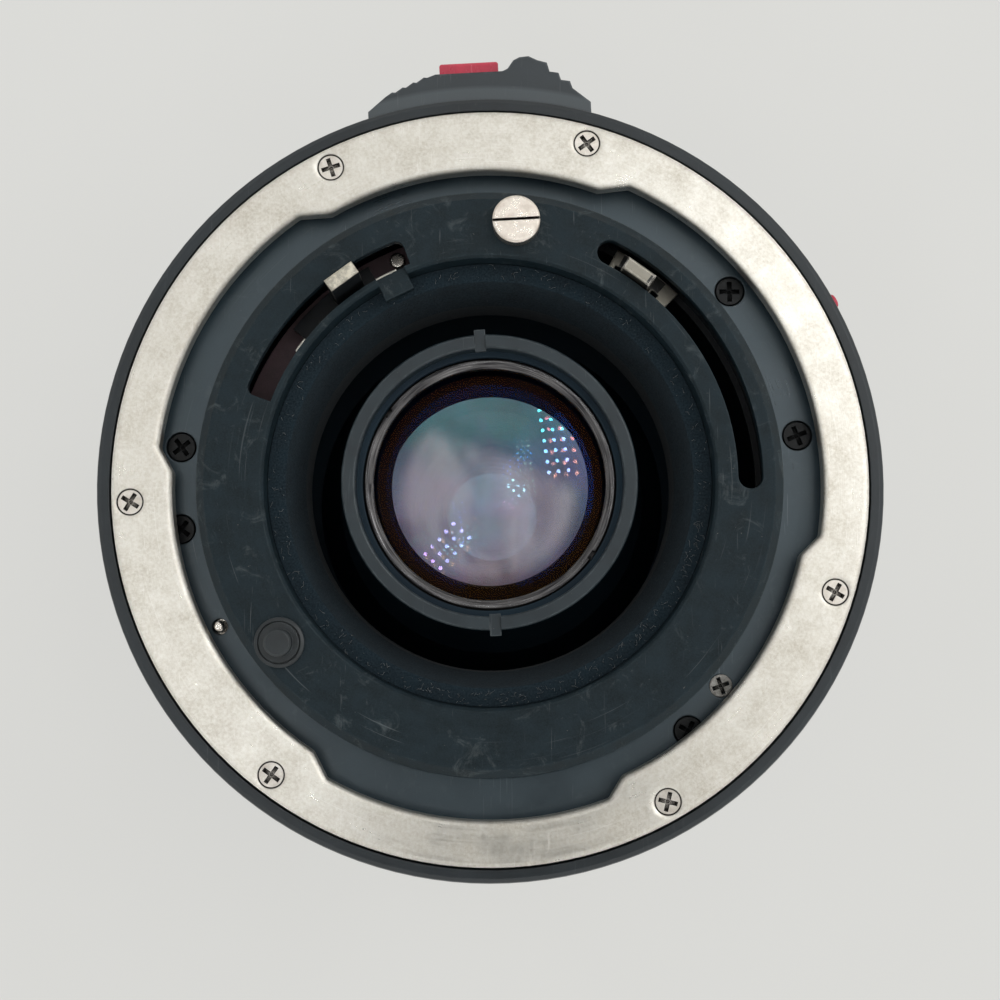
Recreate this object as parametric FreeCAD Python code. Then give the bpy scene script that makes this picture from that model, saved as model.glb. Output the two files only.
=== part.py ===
import FreeCAD, Part

import math
import os

V = FreeCAD.Vector

# Clearances
running_gap = 0.05
seat_gap = 0.03
end_gap = 0.1
ring_gap = 0.2
press_gap = 0.02
body_gap = 0.3

# Heights along the optical axis, from the front rim at zero up to the camera end
rim_height = 4.6
rim_shadow_gap = 0.9
focus_ring_length = 29.1
focus_zoom_gap = 1.0
zoom_ring_length = 25.9
zoom_band_gap = 0.5
band_height = 8.5
aperture_height = 11.9
collar_height = 4.55
collar_top_drop = 0.35
face_rise = 3.0
plate_rise = 2.9

focus_ring_bottom_z = rim_height + rim_shadow_gap
focus_ring_top_z = focus_ring_bottom_z + focus_ring_length
zoom_ring_bottom_z = focus_ring_top_z + focus_zoom_gap
zoom_ring_top_z = zoom_ring_bottom_z + zoom_ring_length
band_bottom_z = zoom_ring_top_z + zoom_band_gap
band_top_z = band_bottom_z + band_height
aperture_bottom_z = band_top_z + end_gap
aperture_top_z = aperture_bottom_z + aperture_height
collar_bottom_z = aperture_top_z + end_gap
collar_top_z = collar_bottom_z + collar_height
face_z = collar_top_z + collar_top_drop
register_z = face_z - face_rise
plate_top_z = face_z + plate_rise

# Radii, from the spigot that enters the camera's throat outwards
plate_outer_r = 23.6
neck_wall = 3.4
neck_flange = 1.3
neck_bore_r = plate_outer_r + ring_gap
neck_outer_r = neck_bore_r + neck_wall
journal_r = neck_outer_r + neck_flange

# Bayonet ring, with three lugs that hook behind the camera's flange
lug_inset = 2.36
lug_depth = 1.28
bayonet_band = 3.66
bayonet_lug_r = plate_outer_r + lug_inset
bayonet_notch_r = bayonet_lug_r + lug_depth
bayonet_outer_r = bayonet_notch_r + bayonet_band
bayonet_thickness = 1.5
bayonet_edge_bevel = 0.2
lug_corner_fillet = 0.45
lug_spans = [(69.8, 120.4), (-65.5, -13.0), (-182.1, -123.4)]
lug_slopes = [(5.0, 4.9), (4.0, 3.8), (4.5, 4.2)]
bayonet_screw_inset = 1.5
bayonet_screw_r = bayonet_outer_r - bayonet_screw_inset
bayonet_screw_angles = [116.6, 74.1, -17.5, -60.8, -126.8, -177.1]
bayonet_screw_head_r = 1.05
bayonet_screw_shaft_r = 0.55
bayonet_screw_length = 3.9
bayonet_screw_sink = 0.1

# Mount core, the register flange
core_wall = 1.0
core_overhang = 1.05
core_inner_r = plate_outer_r - 0.8 * core_wall
core_outer_r = neck_outer_r + core_overhang
core_thickness = 1.4
core_groove_width = 0.3
core_groove_depth = 0.15
core_screw_inset = 1.23
core_screw_r = neck_outer_r - core_screw_inset
core_screw_angles = [172.7, -172.1, 39.2, 9.4, -51.0]
core_screw_head_r = 1.12
core_counterbore_r = 1.27
core_counterbore_depth = 0.84
core_screw_shaft_r = 0.6
core_screw_length = 4.6
core_screw_sink = 0.12
steel_screw_inset = 2.0
steel_screw_r = neck_outer_r - steel_screw_inset
steel_screw_angle = -40.9
steel_screw_head_r = 0.95
steel_screw_shaft_r = 0.45
steel_screw_length = 3.2

# Lock collar, the black rim
collar_rim_width = 1.4
collar_outer_r = bayonet_outer_r + collar_rim_width
collar_grip_step = 0.3
collar_grip_r = collar_outer_r - collar_grip_step
collar_pocket_gap = 0.25
collar_rim_height = 2.1
collar_lip_thickness = 1.4
collar_skirt_wall = 1.5
collar_step_r = collar_grip_r - collar_skirt_wall
collar_wall_r = core_outer_r + end_gap
collar_crown_drop = 0.6
collar_crown_inset = 0.45
collar_flute_count = 72
collar_flute_r = 0.45
index_dot_angle = 28.2
index_dot_r = 0.62
index_dot_proud = 0.3
index_dot_depth = 1.0
index_dot_drop = 1.65

# Lock pin
lock_pin_angle = -152.5
lock_pin_r = 0.48
lock_pin_hole_r = 0.66
lock_pin_proud = 0.9
lock_pin_travel = 0.8
lock_pin_collar_r = 0.8
lock_pin_collar_height = 0.6
lock_pin_pocket_depth = 6.0
lock_spring_wire_r = 0.115
lock_spring_turns = 7

# Rear barrel and thrust ring
thrust_ring_outer_r = collar_step_r - ring_gap
thrust_ring_thickness = 1.4
thrust_slot_width = 1.2
thrust_slot_depth = 0.8
band_rise = 2.5
band_outer_r = journal_r + band_rise
band_bevel = 0.3
socket_depth = 2.5
barrel_screw_angles = [0.0, 120.0, 240.0]
barrel_screw_shaft_r = 0.6
barrel_screw_head_r = 0.95
barrel_screw_head_depth = 0.8
barrel_screw_sink = 0.15
barrel_screw_recess = 0.4

# Rear cover plate
plate_wall = 0.8
plate_skin = 1.0
plate_bevel = 0.7
plate_lip_bevel = 0.25
plate_band = 4.9
lip_outer_r = plate_outer_r - plate_band
lip_wall = 0.6
right_slot_inset = 2.2
right_slot_r = lip_outer_r + right_slot_inset
right_slot_width = 2.0
right_slot_span = (1.0, 62.3)
left_slot_width = 2.2
left_slot_inner_r = lip_outer_r
left_slot_outer_r = lip_outer_r + left_slot_width
left_slot_span = (110.0, 160.0)
left_slot_fillet = 0.7
tongue_angle = 115.5
tongue_width = 2.5
tongue_reach = 1.3
tongue_drop = 0.5
tongue_thickness = 1.0

# Locating stud and signal pin
stud_inset = 2.35
stud_r = lip_outer_r + stud_inset
stud_angle = 84.1
stud_head_r = 1.925
stud_height = 1.4
stud_bevel = 0.15
stud_slot_width = 0.22
stud_slot_depth = 0.5
stud_slot_turn = 3.0
signal_pin_angle = -142.3
signal_pin_r = 1.1
signal_pin_base_r = 2.0
signal_pin_groove_r = 1.6
signal_pin_groove_width = 0.12
signal_pin_height = 1.7
signal_pin_base_height = 0.5
signal_pin_bevel = 0.15
shank_r = 0.9
shank_depth = 2.2

# Signal sleeve and its lever, turned by the aperture ring
sleeve_outer_r = neck_bore_r - end_gap
sleeve_wall = 1.4
sleeve_height = 10.4
signal_lever_angle = 54.3
signal_lever_inset = 1.85
signal_lever_r = lip_outer_r + signal_lever_inset
signal_lever_proud = 1.2
lever_width = 2.65
lever_thickness = 1.05
lever_bevel = 0.12
signal_foot_span = (45.5, 61.5)
signal_foot_setback = 0.15
signal_foot_z = -1.9
signal_foot_thickness = 0.6
signal_foot_slit = 0.7
signal_foot_slit_gap = 0.1
signal_strip_span = (48.0, 60.0)
signal_strip_wall = 0.7
signal_strip_drop = 6.0

# Stop-down ring and its lever
stop_ring_width = 1.0
stop_ring_outer_r = lip_outer_r + stop_ring_width
stop_ring_thickness = 0.8
stop_ring_z = -2.5
stop_ring_gap_span = (145.2, 166.0)
stop_plate_span = (119.0, 141.5)
stop_plate_overhang = 1.1
stop_plate_outer_r = stop_ring_outer_r + stop_plate_overhang
stop_plate_thickness = 0.6
stop_lever_angle = 126.2
stop_lever_offset = 0.06
stop_lever_r = stop_ring_outer_r + stop_lever_offset
stop_lever_proud = 3.2
stop_lever_travel = 22.0
stop_bar_angle = 215.0
stop_bar_width = 1.2
stop_bar_depth = 0.85
stop_bar_margin = 0.5
stop_spring_angle = 255.0
stop_spring_coil_r = 0.55
stop_spring_wire_r = 0.11
stop_spring_length = 7.0
stop_spring_turns = 12

# Brown carrier under the stop-down ring
carrier_thickness = 0.8
carrier_narrow_r = stop_ring_outer_r + seat_gap
carrier_wide_span = (105.0, 170.0)
rivet_angle = 112.2
rivet_head_r = 0.68
rivet_shank_r = 0.36
rivet_head_height = 0.35
rivet_tail = 0.2
rivet_r = stop_ring_outer_r + rivet_head_r + running_gap + press_gap
carrier_margin = 0.28
carrier_wide_r = rivet_r + rivet_head_r + carrier_margin

# Light baffle
baffle_face_z = 0.4
baffle_face_width = 1.5
baffle_cone_width = 1.2
baffle_inner_r = lip_outer_r - lip_wall - baffle_face_width
baffle_throat_r = baffle_inner_r - baffle_cone_width
baffle_cone_depth = 4.4
baffle_depth = 9.0
baffle_skirt = 2.2
baffle_wall = 0.6

# Aperture ring and its grip block
aperture_outer_r = collar_grip_r
aperture_bevel = 0.2
aperture_lower_bevel = 0.3
aperture_flute_count = 60
aperture_flute_r = 0.5
aperture_flute_height = 4.6
aperture_flute_margin = 0.7
aperture_flute_offset = 0.22
aperture_travel = 46.0
aperture_over_travel = 3.0
key_angle = 20.0
key_screw_r = 0.9
key_head_r = 1.5
key_head_height = 1.0
key_slot_width = 0.3
key_slot_depth = 0.4
key_window_gap = 0.3
key_drop = 12.0
block_angle = 92.9
block_top_drop = 0.3
block_length = 9.6
block_bevel_start = 0.3
block_bevel = 0.7
block_flat_half = 2.9
block_flat_rise = 4.0
block_flat_v = aperture_outer_r + block_flat_rise
button_width = 5.14
button_length = 5.6
button_proud = 1.6
button_skin = 0.8
button_corner = 0.35
button_pocket_depth = 2.6
button_travel = 0.8
button_spring_wire_r = 0.12
button_spring_coil_r = 0.8
button_spring_turns = 5
button_spring_seat = 0.4
click_angle = 250.0
click_rise = 3.0
click_ball_r = 0.8
click_groove_depth = 0.35
click_groove_half = 0.5
click_groove_slope = 0.4
click_pocket_floor = 0.8
click_spring_wire_r = 0.1
click_spring_turns = 4

# Main sleeve and cam barrel
sleeve_tube_step = 0.6
sleeve_tube_outer_r = journal_r - sleeve_tube_step
sleeve_tube_wall = 1.0
key_ring_rise = 0.6
key_ring_height = 3.7
key_ring_bottom_z = rim_height + key_ring_rise
key_ring_top_z = key_ring_bottom_z + key_ring_height
carriage_bottom_z = key_ring_top_z + end_gap
sleeve_setback = 5.0
main_sleeve_bottom_z = carriage_bottom_z + sleeve_setback
cam_wall = 0.9
cam_setback = 3.0
cam_outer_r = sleeve_tube_outer_r + running_gap + cam_wall
cam_bottom_z = main_sleeve_bottom_z + cam_setback
cam_top_drop = 0.5
cam_top_z = zoom_ring_top_z - cam_top_drop
cam_pin_r = 1.0
cam_pin_drop = 0.1
cam_pin_top_r = cam_outer_r - cam_pin_drop
cam_pin_fit = 0.01
cam_slot_gap = 0.05
zoom_turn = 75.0
front_travel = 3.0
rear_travel = -14.0
front_pin_rise = 18.0
rear_pin_drop = 5.0
front_pin_z = carriage_bottom_z + front_pin_rise
rear_pin_z = band_bottom_z - rear_pin_drop
front_pin_angles = [20.0, 140.0, 260.0]
rear_pin_angles = [35.0, 155.0, 275.0]

# Outer rings
cam_clearance = 0.15
front_barrel_wall = 0.7
front_barrel_inner_r = cam_outer_r + cam_clearance
front_barrel_outer_r = front_barrel_inner_r + front_barrel_wall
front_barrel_top_z = zoom_ring_bottom_z - ring_gap
front_barrel_flange = 2.5
ring_wall = 0.85
ring_outer_r = front_barrel_outer_r + running_gap + ring_wall
ring_bevel = 0.3
grip_thickness = 1.0
grip_outer_r = ring_outer_r + grip_thickness
grip_rib_count = 60
grip_groove_depth = 0.55
grip_groove_share = 0.36
grip_border = 1.2
zoom_grip_bottom_margin = 0.8
zoom_grip_margin = 3.2
zoom_key_angles = [75.0, 195.0, 315.0]
zoom_key_drop = 2.5
zoom_key_z = zoom_ring_top_z - zoom_key_drop
zoom_key_shaft_r = 0.8
zoom_key_head_r = 1.3
zoom_key_head_height = 0.7
zoom_key_slot_width = 0.3
zoom_key_slot_depth = 0.3
focus_grip_lower_margin = 4.0
focus_grip_upper_margin = 3.4
focus_bevel = 0.8
focus_lip_gap = 0.45
focus_lip_r = sleeve_tube_outer_r + focus_lip_gap
focus_bar_angle = 100.0
focus_bar_width = 2.0
focus_bar_depth = 1.0
focus_bar_root = 0.5
focus_bar_top_gap = 0.4
focus_turn = 140.0
focus_advance = 6.0

# Front group
rim_outer_r = focus_lip_r - body_gap
rim_wall = 2.05
filter_r = rim_outer_r - rim_wall
filter_pitch = 0.75
filter_thread_depth = 0.405
filter_crest = 0.45
filter_depth = 3.4
cell_shoulder = 1.0
cell_outer_r = filter_r - cell_shoulder
cell_length = 20.0
cell_bevel = 0.3
key_ring_outer_r = focus_lip_r - running_gap
front_carriage_length = 24.0
front_carriage_top_z = carriage_bottom_z + front_carriage_length
cell_key_width = 1.9
cell_key_depth = 0.5
cell_key_root = 0.4
cell_key_angle = 280.0
front_retainer_wall = 1.2
front_retainer_outer_r = cell_outer_r - front_retainer_wall
front_retainer_height = 2.1
front_retainer_drop = 1.0
front_retainer_inset = 1.3
front_glass_r = front_retainer_outer_r - front_retainer_inset
front_glass_edge = 2.6
front_glass_bulge = 2.9
front_glass_hollow = 3.4
front_glass_rise = 3.5
front_retainer_z = filter_depth + front_retainer_drop
front_glass_seat_z = front_retainer_z + front_retainer_height + front_glass_rise
second_glass_step = 3.0
second_glass_r = front_glass_r - second_glass_step
second_glass_edge = 3.6
second_glass_hollow = 1.6
second_glass_back_hollow = 0.9
second_glass_rise = 6.6
second_glass_seat_z = front_glass_seat_z + second_glass_rise
glass_ledge = 1.2
glass_step_depth = 1.5

# Rear group
tail_bore_r = 10.35
tail_wall = 1.25
tail_outer_r = tail_bore_r + tail_wall
tail_ring_overhang = 0.33
tail_ring_wall = 1.13
tail_ring_outer_r = tail_outer_r + tail_ring_overhang
tail_ring_inner_r = tail_ring_outer_r - tail_ring_wall
tail_ring_height = 1.9
tail_ring_bevel = 0.12
tail_ring_slot_angles = (93.8, -87.6)
tail_ring_slot_width = 0.9
tail_ring_slot_depth = 0.35
tail_ring_key_height = 0.8
tail_ring_key_reach = 0.45
tail_rise = 2.3
retainer_wall = 0.85
retainer_inner_r = tail_bore_r - retainer_wall
retainer_height = 1.3
retainer_drop = 0.1
retainer_slot_angles = (145, 325)
rear_glass_edge = 2.9
rear_glass_curve = 26.0
rear_stop_inset = 2.5
rear_stop_r = tail_bore_r - rear_stop_inset
pair_step = 1.75
pair_r = tail_bore_r + pair_step
pair_edge = 2.6
pair_back_edge = 3.4
fourth_step = 1.4
fourth_r = pair_r + fourth_step
fourth_edge = 2.4
body_wall = 3.0
body_outer_r = fourth_r + body_wall
body_shoulder = 2.5
rear_flange_height = 6.0
rear_flange_bottom_z = rear_pin_z - rear_flange_height / 2
rear_front_drop = 1.8
rear_front_z = rear_flange_bottom_z - rear_front_drop
fourth_seat_rise = 5.8
fourth_seat_z = rear_front_z + fourth_seat_rise
pair_seat_rise = 8.0
pair_seat_z = fourth_seat_z + pair_seat_rise
rear_pin_root = 4.0
rear_pin_inner_r = body_outer_r + rear_pin_root

# Iris
iris_wall_step = 0.5
iris_wall = 0.8
iris_wall_r = body_outer_r - iris_wall_step
iris_housing_outer_r = iris_wall_r + iris_wall
iris_pivot_inset = 2.0
iris_pivot_r = iris_wall_r - iris_pivot_inset
iris_far_inset = 1.4
iris_far_r = iris_pivot_r - iris_far_inset
iris_blade_width = 3.0
iris_opening_r = iris_far_r - iris_blade_width
iris_bore_r = iris_opening_r + body_gap
iris_blade_count = 5
iris_blade_turn = 30.0
iris_blade_thickness = 0.2
iris_blade_pitch = 0.3
iris_blade_gap = 0.15
iris_blade_span = 92.0
iris_root_end = 24.0
iris_fade_span = (20.0, 32.0)
iris_tab_span = (-5.0, 2.0)
iris_head_r = 1.7
iris_pin_r = 0.4
iris_pin_reach = 3.0
iris_pin_bearing = 97.0
iris_slot_gap = 0.1
iris_plate_thickness = 1.0
iris_drive_thickness = 0.9
iris_drive_lift = 0.15
iris_depth = 4.9
iris_window_margin = 8.0
iris_arm_margin = 1.3
iris_fork_reach = 0.6


def polar(radius, angle, z=0.0):
    a = math.radians(angle)
    return V(radius * math.cos(a), radius * math.sin(a), z)


def turned(shape, angle):
    copy = shape.copy()
    copy.rotate(V(0, 0, 0), V(0, 0, 1), angle)
    return copy


def moved(shape, x, y, z):
    copy = shape.copy()
    copy.translate(V(x, y, z))
    return copy


def lathe(points):
    corners = [V(r, 0, z) for r, z in points]
    wire = Part.makePolygon(corners + [corners[0]])
    return Part.Face(wire).revolve(V(0, 0, 0), V(0, 0, 1), 360)


def disc(radius, z0, z1):
    return Part.makeCylinder(radius, z1 - z0, V(0, 0, z0))


def tube(inner_r, outer_r, z0, z1):
    return disc(outer_r, z0, z1).cut(disc(inner_r, z0 - 1, z1 + 1))


def sector(inner_r, outer_r, z0, z1, start, end):
    wedge = Part.makeCylinder(outer_r, z1 - z0, V(0, 0, z0), V(0, 0, 1), end - start)
    return turned(wedge, start).cut(disc(inner_r, z0 - 1, z1 + 1))


def arc_slot(mid_r, width, z0, z1, start, end):
    body = sector(mid_r - width / 2, mid_r + width / 2, z0, z1, start, end)
    for angle in (start, end):
        centre = polar(mid_r, angle, z0)
        body = body.fuse(Part.makeCylinder(width / 2, z1 - z0, centre))
    return body


def post(radius, mid_r, angle, z0, z1):
    return Part.makeCylinder(radius, z1 - z0, polar(mid_r, angle, z0))


def radial_rod(radius, r0, r1, angle, z):
    return Part.makeCylinder(radius, r1 - r0, polar(r0, angle, z), polar(1, angle))


def radial_box(width, r0, r1, angle, z0, z1):
    box = Part.makeBox(r1 - r0, width, z1 - z0, V(r0, -width / 2, z0))
    return turned(box, angle)


def joined(shapes):
    return shapes[0].multiFuse(shapes[1:]) if len(shapes) > 1 else shapes[0]


def group(shapes):
    return Part.makeCompound(shapes)


def upright_edges(shape, low_r, high_r):
    found = []
    for edge in shape.Edges:
        ends = [v.Point for v in edge.Vertexes]
        if len(ends) != 2 or abs(ends[0].z - ends[1].z) < 1e-6:
            continue
        radii = [math.hypot(p.x, p.y) for p in ends]
        if low_r < min(radii) and max(radii) < high_r and abs(radii[0] - radii[1]) < 1e-6:
            found.append(edge)
    return found


def export(name, shape):
    shape.exportStep("parts/" + name + ".step")


def cross_recess(radius, depth):
    arm = radius * 1.5
    bar = radius * 0.34
    first = Part.makeBox(arm, bar, depth + 1, V(-arm / 2, -bar / 2, -depth))
    second = Part.makeBox(bar, arm, depth + 1, V(-bar / 2, -arm / 2, -depth))
    centre = Part.makeCone(bar * 0.35, bar * 0.8, depth * 1.5, V(0, 0, -depth * 1.3))
    return joined([first, second, centre])


def cheese_screw(head_r, head_height, shaft_r, length):
    head = Part.makeCylinder(head_r, head_height, V(0, 0, -head_height))
    shaft = Part.makeCylinder(shaft_r, length, V(0, 0, -length))
    return head.fuse(shaft).cut(cross_recess(head_r, head_height * 0.6))


def flat_screw(head_r, shaft_r, length):
    cone_height = head_r - shaft_r
    head = Part.makeCone(shaft_r, head_r, cone_height, V(0, 0, -cone_height))
    shaft = Part.makeCylinder(shaft_r, length, V(0, 0, -length))
    return head.fuse(shaft).cut(cross_recess(head_r, cone_height * 0.7))


def flat_screw_hole(head_r, shaft_r, length):
    return flat_screw_blank(head_r + seat_gap, shaft_r + seat_gap, length)


def flat_screw_blank(head_r, shaft_r, length):
    cone_height = head_r - shaft_r
    head = Part.makeCone(shaft_r, head_r, cone_height, V(0, 0, -cone_height))
    mouth = Part.makeCylinder(head_r, 1, V(0, 0, 0))
    shaft = Part.makeCylinder(shaft_r, length, V(0, 0, -length))
    return joined([head, mouth, shaft])


def placed(shape, radius, angle, z, turn=0.0):
    copy = turned(shape, turn)
    at = polar(radius, angle, z)
    copy.translate(at)
    return copy


def coil(mean_r, wire_r, height, turns):
    pitch = (height - 2 * wire_r) / turns
    helix = Part.makeHelix(pitch, pitch * turns, mean_r)
    profile = Part.Wire([Part.makeCircle(wire_r, V(mean_r, 0, 0), V(0, 1, 0))])
    spring = Part.Wire(helix).makePipeShell([profile], True, True)
    return moved(spring, 0, 0, wire_r)


# Bayonet ring

def lug_outline():
    edges = []
    corners = []
    for span, slope in zip(lug_spans, lug_slopes):
        corners.append((bayonet_notch_r, span[0] - slope[1]))
        corners.append((bayonet_lug_r, span[0]))
        corners.append((bayonet_lug_r, span[1]))
        corners.append((bayonet_notch_r, span[1] + slope[0]))
    corners.sort(key=lambda corner: corner[1])
    count = len(corners)
    for i in range(count):
        r0, a0 = corners[i]
        r1, a1 = corners[(i + 1) % count]
        if i == count - 1:
            a1 += 360.0
        start = polar(r0, a0)
        end = polar(r1, a1)
        if r0 == r1:
            middle = polar(r0, (a0 + a1) / 2)
            edges.append(Part.Arc(start, middle, end).toShape())
        else:
            edges.append(Part.LineSegment(start, end).toShape())
    return Part.Wire(edges)


def top_inner_edges(shape, z):
    found = []
    for edge in shape.Edges:
        points = edge.discretize(5)
        if all(abs(p.z - z) < 1e-6 and math.hypot(p.x, p.y) < bayonet_notch_r + 0.6 for p in points):
            found.append(edge)
    return found


def bayonet_ring():
    bottom = face_z - bayonet_thickness
    inside = Part.Face(lug_outline()).extrude(V(0, 0, bayonet_thickness))
    ring = disc(bayonet_outer_r, bottom, face_z).cut(moved(inside, 0, 0, bottom))
    ring = ring.makeFillet(lug_corner_fillet, upright_edges(ring, bayonet_lug_r - 1, bayonet_notch_r + 0.1))
    ring = ring.makeChamfer(bayonet_edge_bevel, top_inner_edges(ring, face_z))
    return ring.cut(bayonet_screw_holes())


def bayonet_screw_holes():
    # The seat's cone runs on above the sunk head, which leaves a narrow groove round it.
    hole = flat_screw_hole(bayonet_screw_head_r + bayonet_screw_sink, bayonet_screw_shaft_r,
                           bayonet_screw_length + bayonet_screw_sink + end_gap)
    return joined([placed(hole, bayonet_screw_r, a, face_z) for a in bayonet_screw_angles])


def bayonet_screws():
    screw = flat_screw(bayonet_screw_head_r, bayonet_screw_shaft_r, bayonet_screw_length)
    top = face_z - bayonet_screw_sink
    return group([placed(screw, bayonet_screw_r, a, top, a * 1.7) for a in bayonet_screw_angles])


# Lock collar

pocket_floor_z = face_z - bayonet_thickness
core_bottom_z = register_z - core_thickness
lip_top_z = core_bottom_z - end_gap
lip_bottom_z = lip_top_z - collar_lip_thickness


def lock_collar():
    pocket_r = bayonet_outer_r + collar_pocket_gap
    lip_r = neck_outer_r + running_gap
    rim_z = collar_top_z - collar_rim_height
    collar = lathe([
        (pocket_r, collar_top_z),
        (collar_outer_r - collar_crown_inset, collar_top_z),
        (collar_outer_r - 0.27 * collar_crown_inset, collar_top_z - 0.37 * collar_crown_drop),
        (collar_outer_r, collar_top_z - collar_crown_drop),
        (collar_outer_r, rim_z),
        (collar_grip_r, rim_z - 0.15),
        (collar_grip_r, collar_bottom_z + 0.2),
        (collar_grip_r - 0.2, collar_bottom_z),
        (collar_step_r, collar_bottom_z),
        (collar_step_r, lip_bottom_z),
        (lip_r, lip_bottom_z),
        (lip_r, lip_top_z),
        (collar_wall_r, lip_top_z),
        (collar_wall_r, pocket_floor_z),
        (pocket_r, pocket_floor_z),
    ])
    flutes = []
    for i in range(collar_flute_count):
        angle = 360.0 / collar_flute_count * i
        flutes.append(post(collar_flute_r, collar_grip_r + 0.2, angle, collar_bottom_z - 1, rim_z - 0.3))
    collar = collar.cut(group(flutes))
    return collar.cut(joined([bayonet_screw_holes(), index_dot_shape(seat_gap)]))


def index_dot_shape(gap):
    z = face_z - index_dot_drop
    deep_r = collar_outer_r - index_dot_depth
    proud_r = collar_outer_r + index_dot_proud
    return radial_rod(index_dot_r + gap, deep_r - gap, proud_r, index_dot_angle, z)


def index_dot():
    dot = index_dot_shape(0)
    crown = [e for e in dot.Edges if math.hypot(e.CenterOfMass.x, e.CenterOfMass.y) > collar_outer_r]
    return dot.makeFillet(index_dot_proud * 0.8, crown[:1])


# Mount core and what is set into it

def core_screw_holes():
    seat_z = register_z - core_counterbore_depth
    cuts = []
    for angle in core_screw_angles:
        cuts.append(post(core_counterbore_r, core_screw_r, angle, seat_z, register_z + 1))
        low = register_z - core_screw_sink - core_screw_length - end_gap
        cuts.append(post(core_screw_shaft_r + seat_gap, core_screw_r, angle, low, register_z))
    return joined(cuts)


def steel_screw_hole():
    hole = flat_screw_hole(steel_screw_head_r, steel_screw_shaft_r, steel_screw_length + end_gap)
    return placed(hole, steel_screw_r, steel_screw_angle, register_z)


def lock_pin_pocket():
    bottom = core_bottom_z - lock_pin_pocket_depth
    pocket = post(lock_pin_collar_r + running_gap, steel_screw_r, lock_pin_angle, bottom, core_bottom_z)
    hole = post(lock_pin_hole_r, steel_screw_r, lock_pin_angle, core_bottom_z, register_z + 1)
    return pocket.fuse(hole)


def mount_core():
    core = tube(core_inner_r, core_outer_r, core_bottom_z, register_z)
    groove_r = plate_outer_r + core_groove_width / 2
    groove = tube(groove_r, groove_r + core_groove_width, register_z - core_groove_depth, register_z + 1)
    return core.cut(joined([core_screw_holes(), steel_screw_hole(), lock_pin_pocket(), groove]))


def core_screws():
    head_height = core_counterbore_depth - core_screw_sink
    screw = cheese_screw(core_screw_head_r, head_height, core_screw_shaft_r, core_screw_length)
    top = register_z - core_screw_sink
    return group([placed(screw, core_screw_r, a, top, a * 2.3) for a in core_screw_angles])


def steel_screw():
    screw = flat_screw(steel_screw_head_r, steel_screw_shaft_r, steel_screw_length)
    return placed(screw, steel_screw_r, steel_screw_angle, register_z, 20)


def lock_pin():
    top = register_z + lock_pin_proud
    pin = post(lock_pin_r, steel_screw_r, lock_pin_angle, core_bottom_z - lock_pin_collar_height, top)
    tip = [e for e in pin.Edges if abs(e.BoundBox.ZMin - top) < 1e-6 and abs(e.BoundBox.ZMax - top) < 1e-6]
    pin = pin.makeFillet(lock_pin_r * 0.5, tip)
    collar = post(lock_pin_collar_r, steel_screw_r, lock_pin_angle,
                  core_bottom_z - lock_pin_collar_height, core_bottom_z - seat_gap)
    return pin.fuse(collar)


def lock_pin_spring():
    top = core_bottom_z - lock_pin_collar_height
    bottom = core_bottom_z - lock_pin_pocket_depth
    mean_r = lock_pin_collar_r - lock_spring_wire_r - seat_gap
    spring = coil(mean_r, lock_spring_wire_r, top - bottom - 0.04, lock_spring_turns)
    return placed(spring, steel_screw_r, lock_pin_angle, bottom + 0.02)


# Rear barrel and thrust ring

thrust_top_z = lip_bottom_z - end_gap
journal_top_z = thrust_top_z - thrust_ring_thickness


def key_window():
    z = face_z - key_drop
    reach = key_screw_r + key_window_gap
    half = math.degrees(reach / journal_r)
    start = key_angle - aperture_travel - half
    end = key_angle + aperture_over_travel + half
    return sector(neck_bore_r - 1, journal_r + 1, z - reach, z + reach, start, end)


def rear_barrel():
    socket_top = band_bottom_z + socket_depth
    barrel = lathe([
        (sleeve_tube_outer_r + seat_gap, band_bottom_z),
        (sleeve_tube_outer_r + seat_gap, socket_top),
        (neck_bore_r, socket_top),
        (neck_bore_r, core_bottom_z),
        (neck_outer_r, core_bottom_z),
        (neck_outer_r, journal_top_z),
        (journal_r, journal_top_z),
        (journal_r, band_top_z),
        (band_outer_r - band_bevel, band_top_z),
        (band_outer_r, band_top_z - band_bevel),
        (band_outer_r, band_bottom_z + band_bevel),
        (band_outer_r - band_bevel, band_bottom_z),
    ])
    cuts = [core_screw_holes(), steel_screw_hole(), lock_pin_pocket(), key_window(), click_pocket()]
    cuts.append(barrel_screw_holes())
    return barrel.cut(joined(cuts))


def thrust_ring():
    ring = tube(neck_outer_r + seat_gap, thrust_ring_outer_r, journal_top_z, thrust_top_z)
    slot_r = thrust_ring_outer_r - thrust_slot_width
    slots = [radial_box(thrust_slot_width, slot_r, thrust_ring_outer_r + 1, a,
                        thrust_top_z - thrust_slot_depth, thrust_top_z + 1) for a in (45, 225)]
    return ring.cut(joined(slots))


def barrel_screw_z():
    return band_bottom_z + socket_depth / 2


def barrel_screw_holes():
    z = barrel_screw_z()
    inner_r = sleeve_tube_outer_r - sleeve_tube_wall
    holes = []
    for angle in barrel_screw_angles:
        holes.append(radial_rod(barrel_screw_shaft_r + seat_gap, inner_r - 1, band_outer_r, angle, z))
        seat_r = band_outer_r - barrel_screw_head_depth
        holes.append(radial_rod(barrel_screw_head_r + seat_gap, seat_r, band_outer_r + 1, angle, z))
    return joined(holes)


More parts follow.
